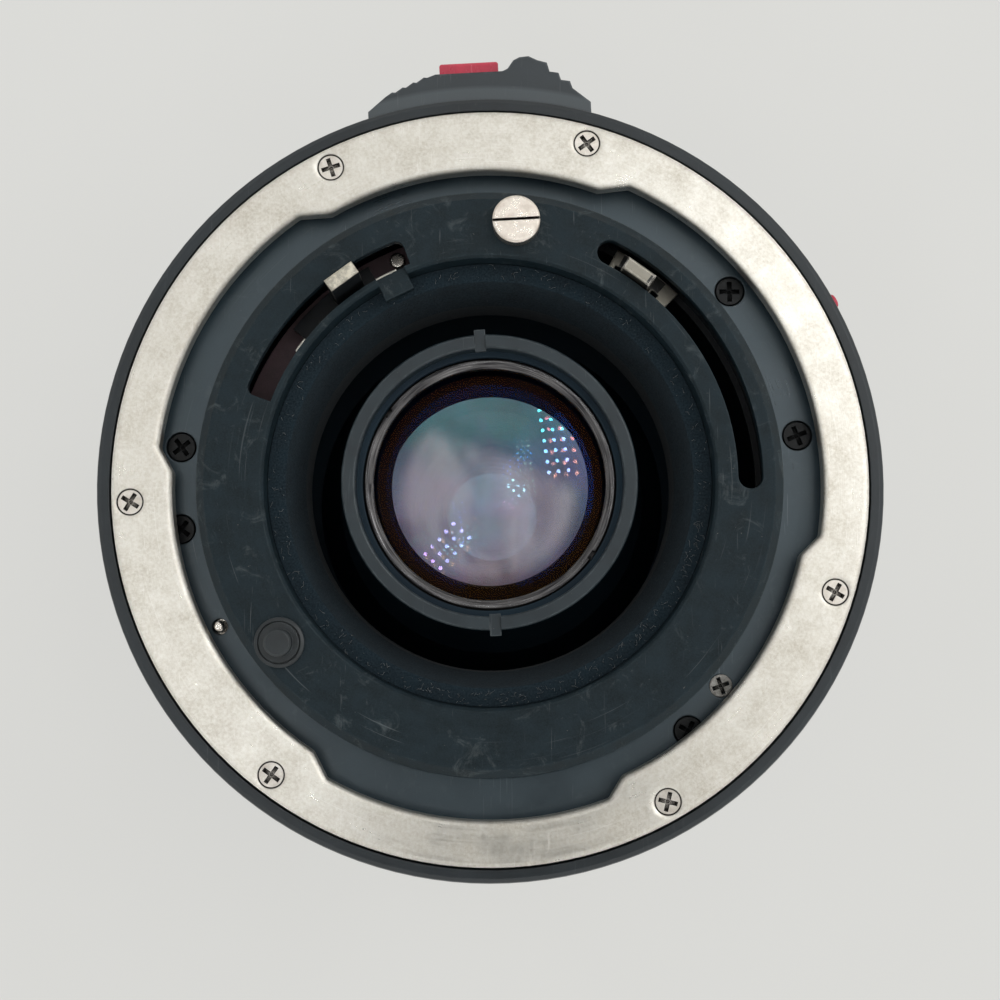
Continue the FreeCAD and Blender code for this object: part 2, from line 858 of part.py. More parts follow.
def barrel_screws():
    z = barrel_screw_z()
    inner_r = sleeve_tube_outer_r - sleeve_tube_wall
    screws = []
    for angle in barrel_screw_angles:
        shaft = radial_rod(barrel_screw_shaft_r, inner_r + 0.1, band_outer_r - 0.1, angle, z)
        seat_r = band_outer_r - barrel_screw_head_depth
        head = radial_rod(barrel_screw_head_r, seat_r, band_outer_r - barrel_screw_sink, angle, z)
        recess = cross_recess(barrel_screw_head_r, barrel_screw_recess)
        recess.rotate(V(0, 0, 0), V(0, 1, 0), 90)
        recess = turned(recess, angle)
        at = polar(band_outer_r - barrel_screw_sink, angle, z)
        recess.translate(at)
        screws.append(shaft.fuse(head).cut(recess))
    return group(screws)


# Click stop of the aperture ring

def click_z():
    return band_top_z + click_rise


def click_ball_centre_r():
    return journal_r + running_gap + click_groove_depth - seat_gap - click_ball_r


def click_pocket():
    bottom_r = neck_bore_r + click_pocket_floor
    return radial_rod(click_ball_r + seat_gap, bottom_r, journal_r + 1, click_angle, click_z())


def click_ball():
    return Part.makeSphere(click_ball_r, polar(click_ball_centre_r(), click_angle, click_z()))


def click_spring():
    bottom_r = neck_bore_r + click_pocket_floor
    length = click_ball_centre_r() - click_ball_r * 0.72 - bottom_r
    spring = coil(click_ball_r - click_spring_wire_r - 0.12, click_spring_wire_r, length, click_spring_turns)
    spring.rotate(V(0, 0, 0), V(0, 1, 0), 90)
    spring = turned(spring, click_angle)
    spring.translate(polar(bottom_r, click_angle, click_z()))
    return spring


# Cover plate, baffle, stud and signal pin

plate_under_z = plate_top_z - plate_skin
stop_ring_bottom_z = face_z + stop_ring_z
carrier_top_z = stop_ring_bottom_z - end_gap
carrier_bottom_z = carrier_top_z - carrier_thickness


def rear_plate():
    lip_r = lip_outer_r - lip_wall
    plate = lathe([
        (lip_r, carrier_bottom_z),
        (lip_r, plate_top_z - plate_lip_bevel),
        (lip_r + plate_lip_bevel, plate_top_z),
        (plate_outer_r - plate_bevel, plate_top_z),
        (plate_outer_r, plate_top_z - plate_bevel),
        (plate_outer_r, register_z),
        (plate_outer_r - plate_wall, register_z),
        (plate_outer_r - plate_wall, plate_under_z),
        (lip_outer_r, plate_under_z),
        (lip_outer_r, carrier_bottom_z),
    ])
    right = arc_slot(right_slot_r, right_slot_width, plate_under_z - 1, plate_top_z + 1, *right_slot_span)
    left = sector(left_slot_inner_r, left_slot_outer_r, plate_under_z - 1, plate_top_z + 1, *left_slot_span)
    corners = upright_edges(left, left_slot_outer_r - 0.01, left_slot_outer_r + 0.01)
    left = left.makeFillet(left_slot_fillet, corners)
    plate = plate.cut(joined([right, left, stud_hole(), signal_pin_hole()]))
    tongue_top_z = plate_top_z - tongue_drop
    notch = radial_box(tongue_width, lip_r - 1, lip_outer_r + seat_gap, tongue_angle,
                       tongue_top_z, plate_top_z + 1)
    tongue = radial_box(tongue_width, lip_r - tongue_reach, lip_r + lip_wall / 2, tongue_angle,
                        tongue_top_z - tongue_thickness, tongue_top_z)
    return plate.cut(notch).fuse(tongue)


def stud_hole():
    return post(shank_r + seat_gap, stud_r, stud_angle, plate_under_z - 1, plate_top_z + 1)


def locating_stud():
    top = plate_top_z + stud_height
    head = Part.makeCylinder(stud_head_r, stud_height, V(0, 0, -stud_height))
    edge = [e for e in head.Edges if abs(e.BoundBox.ZMax) < 1e-6 and e.BoundBox.XLength > stud_head_r]
    head = head.makeChamfer(stud_bevel, edge)
    slot_at = V(-2 * stud_head_r, -stud_slot_width / 2, -stud_slot_depth)
    slot = Part.makeBox(4 * stud_head_r, stud_slot_width, 1, slot_at)
    shank = Part.makeCylinder(shank_r, shank_depth, V(0, 0, -stud_height - shank_depth))
    return placed(head.fuse(shank).cut(slot), stud_r, stud_angle, top, stud_slot_turn)


def signal_pin_hole():
    return post(shank_r + seat_gap, stud_r, signal_pin_angle, plate_under_z - 1, plate_top_z + 1)


def signal_pin():
    low = -signal_pin_height
    pin = lathe([
        (0, 0),
        (signal_pin_r - signal_pin_bevel, 0),
        (signal_pin_r, -signal_pin_bevel),
        (signal_pin_r, low + signal_pin_base_height),
        (signal_pin_groove_r, low + signal_pin_base_height),
        (signal_pin_groove_r, low + signal_pin_base_height * 0.5),
        (signal_pin_groove_r + signal_pin_groove_width, low + signal_pin_base_height * 0.5),
        (signal_pin_groove_r + signal_pin_groove_width, low + signal_pin_base_height),
        (signal_pin_base_r, low + signal_pin_base_height * 0.7),
        (signal_pin_base_r, low),
        (shank_r, low),
        (shank_r, low - shank_depth),
        (0, low - shank_depth),
    ])
    return placed(pin, stud_r, signal_pin_angle, plate_top_z + signal_pin_height)


def light_baffle():
    face = face_z + baffle_face_z
    outer_r = lip_outer_r - lip_wall - seat_gap
    cone_z = face - baffle_cone_depth
    low_z = face - baffle_depth
    return lathe([
        (outer_r, face),
        (baffle_inner_r, face),
        (baffle_throat_r, cone_z),
        (baffle_throat_r, low_z),
        (baffle_throat_r + baffle_wall, low_z),
        (baffle_throat_r + baffle_wall, cone_z),
        (baffle_inner_r + baffle_wall, face - baffle_wall),
        (outer_r - baffle_wall, face - baffle_wall),
        (outer_r - baffle_wall, face - baffle_skirt),
        (outer_r, face - baffle_skirt),
    ])


# Levers inside the cover plate

def edges_at_top(shape, top):
    return [e for e in shape.Edges if e.BoundBox.ZMin > top - 0.01]


def stop_bar_window(inner_r, outer_r, z0, z1):
    half = math.degrees((stop_bar_width / 2 + stop_bar_margin) / stop_ring_outer_r)
    start = stop_bar_angle - half
    return sector(inner_r, outer_r, z0, z1, start, stop_bar_angle + stop_lever_travel + half)


def lever_carrier():
    inner_r = lip_outer_r + seat_gap
    ring = tube(inner_r, carrier_narrow_r, carrier_bottom_z, carrier_top_z)
    wide = sector(inner_r, carrier_wide_r, carrier_bottom_z, carrier_top_z, *carrier_wide_span)
    window = stop_bar_window(inner_r - 1, carrier_narrow_r + 1, carrier_bottom_z - 1, carrier_top_z + 1)
    hole = post(rivet_shank_r + seat_gap, rivet_r, rivet_angle, carrier_bottom_z - 1, carrier_top_z + 1)
    return ring.fuse(wide).cut(window.fuse(hole))


def carrier_rivet():
    top = carrier_top_z + rivet_head_height
    head = post(rivet_head_r, rivet_r, rivet_angle, carrier_top_z, top)
    crown = [e for e in head.Edges if e.BoundBox.ZMin > carrier_top_z + rivet_head_height * 0.9]
    head = head.makeFillet(rivet_head_height * 0.6, crown)
    shank = post(rivet_shank_r, rivet_r, rivet_angle, carrier_bottom_z - rivet_tail, carrier_top_z)
    return head.fuse(shank)


def rear_fork_z():
    return rear_front_z - iris_depth + iris_drive_thickness / 2


def stop_down_ring():
    inner_r = lip_outer_r + running_gap
    top = stop_ring_bottom_z + stop_ring_thickness
    start, end = stop_ring_gap_span
    ring = sector(inner_r, stop_ring_outer_r, stop_ring_bottom_z, top, end - 360.0, start)
    bar_r0 = stop_ring_outer_r - stop_bar_depth
    low = rear_fork_z() + rear_travel - iris_drive_thickness
    bar = radial_box(stop_bar_width, bar_r0, stop_ring_outer_r, stop_bar_angle, low, top)
    return ring.fuse(bar)


def stop_down_lever():
    base_z = stop_ring_bottom_z + stop_ring_thickness
    start, end = stop_plate_span
    inner_r = lip_outer_r + running_gap + end_gap
    plate = sector(inner_r, stop_plate_outer_r, base_z, base_z + stop_plate_thickness, start, end)
    top = plate_top_z + stop_lever_proud
    half = lever_thickness / 2
    lever = radial_box(lever_width, stop_lever_r - half, stop_lever_r + half, stop_lever_angle, base_z, top)
    lever = lever.makeChamfer(lever_bevel, edges_at_top(lever, top))
    return plate.fuse(lever)


def stop_down_spring():
    outer_r = stop_spring_coil_r + stop_spring_wire_r
    spring = coil(stop_spring_coil_r, stop_spring_wire_r, stop_spring_length, stop_spring_turns)
    spring.rotate(V(0, 0, 0), V(1, 0, 0), 90)
    z = stop_ring_bottom_z + stop_ring_thickness + outer_r + seat_gap
    spring.translate(V(lip_outer_r + outer_r + end_gap, stop_spring_length / 2, z))
    return turned(spring, stop_spring_angle)


def signal_sleeve():
    top = core_bottom_z - end_gap
    sleeve = tube(sleeve_outer_r - sleeve_wall, sleeve_outer_r, top - sleeve_height, top)
    return sleeve.cut(key_hole())


def signal_lever():
    foot_z = face_z + signal_foot_z
    foot_top = foot_z + signal_foot_thickness
    outer_r = sleeve_outer_r - sleeve_wall - press_gap
    half = lever_thickness / 2
    inner_r = signal_lever_r - half + signal_foot_setback
    foot = sector(inner_r, outer_r, foot_z, foot_top, *signal_foot_span)
    strip_z = foot_z - signal_strip_drop
    strip = sector(outer_r - signal_strip_wall, outer_r, strip_z, foot_top, *signal_strip_span)
    top = plate_top_z + signal_lever_proud
    lever = radial_box(lever_width, signal_lever_r - half, signal_lever_r + half, signal_lever_angle,
                       foot_z, top)
    lever = lever.makeChamfer(lever_bevel, edges_at_top(lever, top))
    side = lever_width / 2 + signal_foot_slit / 2 + signal_foot_slit_gap
    slits = []
    for sign in (-1, 1):
        turn = math.degrees(side / signal_lever_r) * sign
        slits.append(radial_box(signal_foot_slit, inner_r - 1, signal_lever_r + half,
                                signal_lever_angle + turn, foot_z - 1, foot_z + 1))
    return joined([foot.cut(joined(slits)), strip, lever])


# Aperture ring, block and button

def key_hole():
    z = face_z - key_drop
    shaft_r = sleeve_outer_r - sleeve_wall - 1
    shaft = radial_rod(key_screw_r + seat_gap, shaft_r, aperture_outer_r, key_angle, z)
    seat_r = aperture_outer_r - key_head_height
    head = radial_rod(key_head_r + seat_gap, seat_r, aperture_outer_r + 1, key_angle, z)
    return shaft.fuse(head)


def aperture_key_screw():
    z = face_z - key_drop
    head_top = aperture_outer_r - end_gap
    shaft = radial_rod(key_screw_r, sleeve_outer_r - sleeve_wall + end_gap, head_top, key_angle, z)
    head = radial_rod(key_head_r, aperture_outer_r - key_head_height, head_top, key_angle, z)
    slot = radial_box(key_slot_width, head_top - key_slot_depth, head_top + 1, key_angle, z - 2, z + 2)
    return shaft.fuse(head).cut(slot)


def aperture_ring():
    bore_r = journal_r + running_gap
    groove_r = bore_r + click_groove_depth
    shelf_z = journal_top_z - end_gap
    groove_z = click_z()
    ring = lathe([
        (collar_step_r + end_gap, aperture_top_z),
        (aperture_outer_r - aperture_bevel, aperture_top_z),
        (aperture_outer_r, aperture_top_z - aperture_bevel),
        (aperture_outer_r, aperture_bottom_z + aperture_lower_bevel),
        (aperture_outer_r - aperture_lower_bevel, aperture_bottom_z),
        (bore_r, aperture_bottom_z),
        (bore_r, groove_z - click_groove_half - click_groove_slope),
        (groove_r, groove_z - click_groove_half),
        (groove_r, groove_z + click_groove_half),
        (bore_r, groove_z + click_groove_half + click_groove_slope),
        (bore_r, shelf_z),
        (collar_step_r + end_gap, shelf_z),
    ])
    flutes = []
    step = 360.0 / aperture_flute_count
    low = aperture_bottom_z + aperture_flute_margin
    top = low + aperture_flute_height
    flute_r = aperture_outer_r + aperture_flute_offset
    for i in range(aperture_flute_count):
        flutes.append(post(aperture_flute_r, flute_r, step * i, low, top))
    ring = ring.cut(group(flutes))
    return ring.cut(key_hole())


def block_outline():
    # Across (u) and above the aperture ring (v), from the left foot to the right foot.
    foot_rise = 0.4
    left_tooth = (0.93, 0.43)
    right_tooth = (0.95, 0.78)
    points = [(-8.84, foot_rise), (-8.84, 1.0), (-7.35, 2.2)]
    u, v = points[-1]
    for _ in range(4):
        points.append((u + left_tooth[0] * 0.7, v + left_tooth[1]))
        points.append((u + left_tooth[0], v + left_tooth[1] * 0.9))
        u, v = points[-1]
    points.append((-block_flat_half, block_flat_rise))
    points.append((block_flat_half, block_flat_rise))
    hump = [(0.45, 0.2), (0.97, 0.9), (1.5, 1.15), (2.3, 1.2), (3.05, 0.8), (3.85, 0.55), (4.05, -0.25)]
    points.extend([(block_flat_half + u, block_flat_rise + v) for u, v in hump])
    u, v = points[-1]
    for _ in range(2):
        points.append((u + right_tooth[0] * 0.8, v - 0.15))
        points.append((u + right_tooth[0], v - right_tooth[1]))
        u, v = points[-1]
    points.extend([(u + 1.5, 0.9), (u + 1.5, -0.5)])
    return [(u, aperture_outer_r + v) for u, v in points]


def grip_block():
    corners = [V(u, v, 0) for u, v in block_outline()]
    face = Part.Face(Part.makePolygon(corners + [corners[0]]))
    block = face.extrude(V(0, 0, block_length))
    block = turned(block, block_angle - 90.0)
    block.translate(V(0, 0, aperture_top_z - block_top_drop - block_length))
    ring_space = disc(aperture_outer_r + press_gap, aperture_bottom_z - 1, aperture_top_z + 1)
    return block.cut(joined([ring_space, block_bevel_space(), button_pocket(), button_guide_hole()]))


def block_bevel_space():
    # A sloping band along the block's foot, on the side that faces the camera.
    top_z = aperture_top_z - block_top_drop
    low_r = aperture_outer_r + block_bevel_start
    cone = Part.makeCone(low_r, low_r + 2 * block_bevel, 2 * block_bevel, V(0, 0, top_z - block_bevel))
    return cone


def button_middle_z():
    return aperture_top_z - block_top_drop - block_length / 2


def button_box(width, length, r0, r1):
    z = button_middle_z()
    return radial_box(width, r0, r1, block_angle, z - length / 2, z + length / 2)


def button_pocket():
    return button_box(button_width + 2 * running_gap, button_length + 2 * running_gap,
                      block_flat_v - button_pocket_depth, block_flat_v + 3)


def button_guide_hole():
    low_r = aperture_outer_r + button_spring_seat
    return radial_rod(button_spring_coil_r + ring_gap, low_r, block_flat_v, block_angle, button_middle_z())


def lock_button():
    floor_r = block_flat_v - button_pocket_depth
    top_r = block_flat_v + button_proud
    button = button_box(button_width, button_length, floor_r + button_travel + end_gap, top_r)
    button = button.makeFillet(button_corner, outermost_edges(button, top_r, block_angle))
    bore = radial_rod(button_spring_coil_r + button_spring_wire_r + end_gap, floor_r - 1,
                      top_r - button_skin, block_angle, button_middle_z())
    return button.cut(bore)


def outermost_edges(shape, radius, angle):
    out = polar(1, angle)
    return [e for e in shape.Edges if all(abs(v.Point.dot(out) - radius) < 1e-6 for v in e.Vertexes)]


def button_spring():
    low_r = aperture_outer_r + button_spring_seat
    high_r = block_flat_v + button_proud - button_skin - button_travel - running_gap
    spring = coil(button_spring_coil_r, button_spring_wire_r, high_r - low_r, button_spring_turns)
    spring.rotate(V(0, 0, 0), V(0, 1, 0), 90)
    spring = turned(spring, block_angle)
    spring.translate(polar(low_r, block_angle, button_middle_z()))
    return spring


# Main sleeve and cam barrel

def straight_slot(angle, z, travel):
    low = min(z, z + travel)
    high = max(z, z + travel)
    half = cam_pin_r + cam_slot_gap
    r0 = sleeve_tube_outer_r - sleeve_tube_wall - 1
    r1 = sleeve_tube_outer_r + 0.5
    slot = radial_box(2 * half, r0, r1, angle, low, high)
    ends = [radial_rod(half, r0, r1, angle, z_end) for z_end in (low, high)]
    return joined([slot] + ends)


def main_sleeve():
    inner_r = sleeve_tube_outer_r - sleeve_tube_wall
    sleeve = tube(inner_r, sleeve_tube_outer_r, main_sleeve_bottom_z, band_bottom_z + socket_depth)
    cuts = [straight_slot(a, front_pin_z, front_travel) for a in front_pin_angles]
    cuts += [straight_slot(a, rear_pin_z, rear_travel) for a in rear_pin_angles]
    cuts.append(barrel_screw_holes())
    return sleeve.cut(joined(cuts))


def helical_slot(angle, z, travel):
    # The slot runs against the zoom ring's turn, so that the pin stays in its straight guide.
    half = cam_pin_r + cam_slot_gap
    r0 = sleeve_tube_outer_r - 0.5
    r1 = cam_outer_r + 0.5
    turn = math.radians(zoom_turn)
    rise = abs(travel)
    slope = math.atan2(rise, (r0 + r1) / 2 * turn)
    reach = half / math.cos(slope)
    helix = Part.makeHelix(rise * 360.0 / zoom_turn, rise, r0)
    corners = [V(r0, 0, -reach), V(r1, 0, -reach), V(r1, 0, reach), V(r0, 0, reach)]
    profile = Part.makePolygon(corners + [corners[0]])
    shell = Part.BRepOffsetAPI.MakePipeShell(Part.Wire(helix))
    shell.setBiNormalMode(V(0, 0, 1))
    shell.add(profile)
    shell.build()
    shell.makeSolid()
    body = shell.shape()
    if travel > 0:
        body = body.mirror(V(0, 0, 0), V(0, 1, 0))
        body = turned(body, angle)
        body.translate(V(0, 0, z))
    else:
        body = turned(body, angle - zoom_turn)
        body.translate(V(0, 0, z + travel))
    first = radial_rod(half, r0, r1, angle, z)
    last = radial_rod(half, r0, r1, angle - zoom_turn, z + travel)
    return joined([body, first, last])


def cam_barrel():
    inner_r = sleeve_tube_outer_r + running_gap
    barrel = tube(inner_r, cam_outer_r, cam_bottom_z, cam_top_z)
    cuts = [helical_slot(a, front_pin_z, front_travel) for a in front_pin_angles]
    cuts += [helical_slot(a, rear_pin_z, rear_travel) for a in rear_pin_angles]
    cuts.append(zoom_key_holes())
    for cut in cuts:
        barrel = barrel.cut(cut)
    return barrel


def cam_pins(angles, z, inner_r):
    return group([radial_rod(cam_pin_r, inner_r, cam_pin_top_r, a, z) for a in angles])


def cam_pin_holes(angles, z, inner_r, outer_r):
    return joined([radial_rod(cam_pin_r + cam_pin_fit, inner_r, outer_r, a, z) for a in angles])


# Outer rings

def front_barrel():
    low = main_sleeve_bottom_z
    return lathe([
        (sleeve_tube_outer_r + seat_gap, low),
        (front_barrel_outer_r, low),
        (front_barrel_outer_r, front_barrel_top_z),
        (front_barrel_inner_r, front_barrel_top_z),
        (front_barrel_inner_r, low + front_barrel_flange),
        (sleeve_tube_outer_r + seat_gap, low + front_barrel_flange),
    ])


def ribbed_grip(z0, z1):
    ring = tube(ring_outer_r + press_gap, grip_outer_r, z0, z1)
    step = 360.0 / grip_rib_count
    width = grip_outer_r * math.radians(step) * grip_groove_share
    floor_r = grip_outer_r - grip_groove_depth
    groove = Part.makeBox(2, width, z1 - z0 - 2 * grip_border, V(floor_r, -width / 2, z0 + grip_border))
    grooves = [turned(groove, step * i) for i in range(grip_rib_count)]
    return ring.cut(group(grooves))


def zoom_key_holes():
    seat_r = ring_outer_r - zoom_key_head_height
    holes = []
    for angle in zoom_key_angles:
        holes.append(radial_rod(zoom_key_shaft_r + seat_gap, sleeve_tube_outer_r - 1, ring_outer_r,
                                angle, zoom_key_z))
        holes.append(radial_rod(zoom_key_head_r + seat_gap, seat_r, ring_outer_r + 1, angle, zoom_key_z))
    return joined(holes)


def zoom_key_screws():
    seat_r = ring_outer_r - zoom_key_head_height
    top_r = ring_outer_r - end_gap
    screws = []
    for angle in zoom_key_angles:
        shaft = radial_rod(zoom_key_shaft_r, sleeve_tube_outer_r + cam_clearance, top_r, angle, zoom_key_z)
        head = radial_rod(zoom_key_head_r, seat_r, top_r, angle, zoom_key_z)
        slot = radial_box(zoom_key_slot_width, top_r - zoom_key_slot_depth, top_r + 1, angle,
                          zoom_key_z - 2, zoom_key_z + 2)
        screws.append(shaft.fuse(head).cut(slot))
    return group(screws)


def zoom_ring():
    inner_r = cam_outer_r + seat_gap
    ring = lathe([
        (inner_r, zoom_ring_bottom_z),
        (ring_outer_r, zoom_ring_bottom_z),
        (ring_outer_r, zoom_ring_top_z - ring_bevel),
        (ring_outer_r - ring_bevel, zoom_ring_top_z),
        (inner_r, zoom_ring_top_z),
    ])
    return ring.cut(zoom_key_holes())


def zoom_grip():
    return ribbed_grip(zoom_ring_bottom_z + zoom_grip_bottom_margin, zoom_key_z - zoom_grip_margin)


def focus_ring():
    bore_r = front_barrel_outer_r + running_gap
    shelf_z = main_sleeve_bottom_z - end_gap
    ring = lathe([
        (focus_lip_r, focus_ring_bottom_z),
        (ring_outer_r - focus_bevel, focus_ring_bottom_z),
        (ring_outer_r, focus_ring_bottom_z + focus_bevel),
        (ring_outer_r, focus_ring_top_z),
        (bore_r, focus_ring_top_z),
        (bore_r, shelf_z),
        (focus_lip_r, shelf_z),
    ])
    bar_z = rim_height + front_travel + end_gap
    bar = radial_box(focus_bar_width, focus_lip_r - focus_bar_depth, focus_lip_r + focus_bar_root,
                     focus_bar_angle, bar_z, shelf_z - focus_bar_top_gap)
    return ring.fuse(bar)


def focus_grip():
    low = focus_ring_bottom_z + focus_grip_lower_margin
    return ribbed_grip(low, focus_ring_top_z - focus_grip_upper_margin)


# Front group

def focus_key_ring():
    inner_r = cell_outer_r + running_gap
    ring = tube(inner_r, key_ring_outer_r, key_ring_bottom_z, key_ring_top_z)
    notch_r = focus_lip_r - focus_bar_depth - end_gap
    notch = radial_box(focus_bar_width + 2 * running_gap, notch_r, key_ring_outer_r + 1,
                       focus_bar_angle, key_ring_bottom_z - 1, key_ring_top_z + 1)
    key = radial_box(cell_key_width, cell_outer_r - cell_key_depth, inner_r + cell_key_root, cell_key_angle,
                     key_ring_bottom_z, key_ring_top_z)
    return ring.cut(notch).fuse(key)


def front_carriage():
    inner_r = cell_outer_r + running_gap
    outer_r = sleeve_tube_outer_r - sleeve_tube_wall - running_gap
    carriage = tube(inner_r, outer_r, carriage_bottom_z, front_carriage_top_z)
    return carriage.cut(cam_pin_holes(front_pin_angles, front_pin_z, inner_r - 1, outer_r + 1))


def filter_thread():
    # Ring grooves at the thread's pitch stand for the thread, with flat crests at its minor radius.
    points = []
    z = 0
    minor_r = filter_r - filter_thread_depth
    for _ in range(int(filter_depth / filter_pitch)):
        points.append((minor_r, z))
        points.append((minor_r, z + filter_crest))
        points.append((filter_r, z + (filter_crest + filter_pitch) / 2))
        z += filter_pitch
    points.append((minor_r, z))
    points.append((minor_r, filter_depth))
    return points


def front_cell():
    seat_r = front_glass_r + seat_gap
    second_r = second_glass_r + seat_gap
    retainer_top = front_retainer_z + front_retainer_height
    step_z = front_glass_seat_z + glass_step_depth
    points = [(rim_outer_r - cell_bevel, 0)]
    points += filter_thread()
    points += [
        (filter_r, filter_depth + end_gap),
        (filter_r, filter_depth + front_retainer_drop / 2),
        (front_retainer_outer_r, filter_depth + front_retainer_drop / 2),
        (front_retainer_outer_r, retainer_top),
        (seat_r, retainer_top),
        (seat_r, front_glass_seat_z),
        (second_glass_r + glass_ledge, front_glass_seat_z),
        (second_glass_r + glass_ledge, step_z),
        (second_r, step_z),
        (second_r, second_glass_seat_z),
        (second_glass_r - glass_ledge, second_glass_seat_z),
        (second_glass_r - glass_ledge, cell_length),
        (cell_outer_r, cell_length),
        (cell_outer_r, rim_height),
        (rim_outer_r, rim_height),
        (rim_outer_r, cell_bevel),
    ]
    groove = radial_box(cell_key_width + 2 * running_gap, cell_outer_r - cell_key_depth - end_gap,
                        cell_outer_r + 1, cell_key_angle, rim_height, cell_length + 1)
    return lathe(points).cut(groove)


def lens(radius, low_z, high_z, low_sag, high_sag):
    # A positive sag bulges outwards from the lens, a negative one is hollow.
    low_rim = V(radius, 0, low_z)
    high_rim = V(radius, 0, high_z)
    low_pole = V(0, 0, low_z - low_sag)
    high_pole = V(0, 0, high_z + high_sag)
    edges = [
        spherical_edge(low_pole, low_rim, radius, low_sag, low_z, -1),
        Part.LineSegment(low_rim, high_rim).toShape(),
        spherical_edge(high_rim, high_pole, radius, high_sag, high_z, 1),
        Part.LineSegment(high_pole, low_pole).toShape(),
    ]
    return Part.Face(Part.Wire(edges)).revolve(V(0, 0, 0), V(0, 0, 1), 360)


def spherical_edge(start, end, radius, sag, z, side):
    if sag == 0:
        return Part.LineSegment(start, end).toShape()
    curve_r = (radius ** 2 + sag ** 2) / (2 * abs(sag))
    half_r = radius / 2
    drop = curve_r - math.sqrt(curve_r ** 2 - half_r ** 2)
    middle_z = z + side * (sag - math.copysign(drop, sag))
    return Part.Arc(start, V(half_r, 0, middle_z), end).toShape()


def front_element():
    low = front_glass_seat_z - front_glass_edge
    return lens(front_glass_r, low, front_glass_seat_z, front_glass_bulge, -front_glass_hollow)


def second_element():
    low = second_glass_seat_z - second_glass_edge
    return lens(second_glass_r, low, second_glass_seat_z, -second_glass_hollow, -second_glass_back_hollow)


def front_retaining_ring():
    low = front_retainer_z
    high = low + front_retainer_height
    outer_r = front_retainer_outer_r - seat_gap
    inner_r = front_glass_r - front_retainer_inset
    foot_z = front_glass_seat_z - front_glass_edge
    ring = lathe([
        (outer_r, low),
        (outer_r, high - seat_gap),
        (front_glass_r, high - seat_gap),
        (front_glass_r, foot_z - seat_gap),
        (inner_r, foot_z - 0.5 * glass_step_depth),
        (inner_r, high - 0.4 * glass_step_depth),
        (outer_r - front_retainer_wall, low),
    ])
    slots = [radial_box(thrust_slot_width, outer_r - cell_shoulder, outer_r + 1, a, low - 1,
                        low + thrust_slot_depth) for a in (60, 240)]
    return ring.cut(joined(slots))


# Rear group

tail_top_z = face_z + tail_rise
tail_shoulder_z = tail_top_z - tail_ring_height
retainer_top_z = face_z - retainer_drop
retainer_bottom_z = retainer_top_z - retainer_height
rear_glass_top_z = retainer_bottom_z - seat_gap
rear_glass_bottom_z = rear_glass_top_z - rear_glass_edge


def rear_carriage():
    flange_r = sleeve_tube_outer_r - sleeve_tube_wall - running_gap
    flange_top = rear_flange_bottom_z + rear_flange_height
    body = lathe([
        (fourth_r + seat_gap, rear_front_z),
        (body_outer_r, rear_front_z),
        (body_outer_r, rear_flange_bottom_z),
        (flange_r, rear_flange_bottom_z),
        (flange_r, flange_top),
        (body_outer_r, flange_top),
        (tail_outer_r + body_shoulder, pair_seat_z),
        (tail_outer_r, pair_seat_z + body_shoulder),
        (tail_outer_r, tail_shoulder_z),
        (tail_bore_r, tail_shoulder_z),
        (tail_bore_r, pair_seat_z),
        (pair_r + seat_gap, pair_seat_z),
        (pair_r + seat_gap, fourth_seat_z),
        (fourth_r + seat_gap, fourth_seat_z),
    ])
    window_r = stop_ring_outer_r + stop_bar_margin
    window = stop_bar_window(stop_ring_outer_r - stop_bar_depth - stop_bar_margin, window_r,
                             rear_flange_bottom_z - 1, flange_top + 1)
    pins = cam_pin_holes(rear_pin_angles, rear_pin_z, rear_pin_inner_r, flange_r + 1)
    return body.cut(joined([window, pins]))


def tail_ring():
    ring = lathe([
        (tail_ring_inner_r, tail_shoulder_z),
        (tail_ring_inner_r, tail_top_z - tail_ring_bevel),
        (tail_ring_inner_r + tail_ring_bevel, tail_top_z),
        (tail_ring_outer_r - tail_ring_bevel, tail_top_z),
        (tail_ring_outer_r, tail_top_z - tail_ring_bevel),
        (tail_ring_outer_r, tail_shoulder_z),
    ])
    key_top = tail_top_z - end_gap
    keys = []
    slots = []
    for angle in tail_ring_slot_angles:
        keys.append(radial_box(tail_ring_slot_width, tail_ring_inner_r - ring_gap,
                               tail_ring_outer_r + tail_ring_key_reach, angle,
                               key_top - tail_ring_key_height, key_top))
        slots.append(radial_box(tail_ring_slot_width, tail_ring_inner_r - 1, tail_ring_outer_r + 1, angle,
                                tail_top_z - tail_ring_slot_depth, tail_top_z + 1))
    return ring.fuse(joined(keys)).cut(joined(slots))


def rear_retaining_ring():
    outer_r = tail_bore_r - seat_gap
    ring = lathe([
        (retainer_inner_r, retainer_bottom_z),
        (retainer_inner_r, retainer_top_z - 0.35),
        (retainer_inner_r + 0.3, retainer_top_z - 0.1),
        (retainer_inner_r + 0.45, retainer_top_z),
        (outer_r - 0.15, retainer_top_z),
        (outer_r, retainer_top_z - 0.15),
        (outer_r, retainer_bottom_z),
    ])
    slots = [radial_box(0.8, outer_r - 0.35, outer_r + 1, a, retainer_top_z - 0.5, retainer_top_z + 1)
             for a in retainer_slot_angles]
    return ring.cut(joined(slots))


def rear_element():
    radius = tail_bore_r - seat_gap
    clear_r = retainer_inner_r
    sag = rear_glass_curve - math.sqrt(rear_glass_curve ** 2 - clear_r ** 2)
    blank = lens(clear_r, rear_glass_bottom_z + 0.6, rear_glass_top_z, -0.5, sag * 0.8)
    rim = tube(clear_r - 0.01, radius, rear_glass_bottom_z, rear_glass_top_z)
    return blank.fuse(rim)


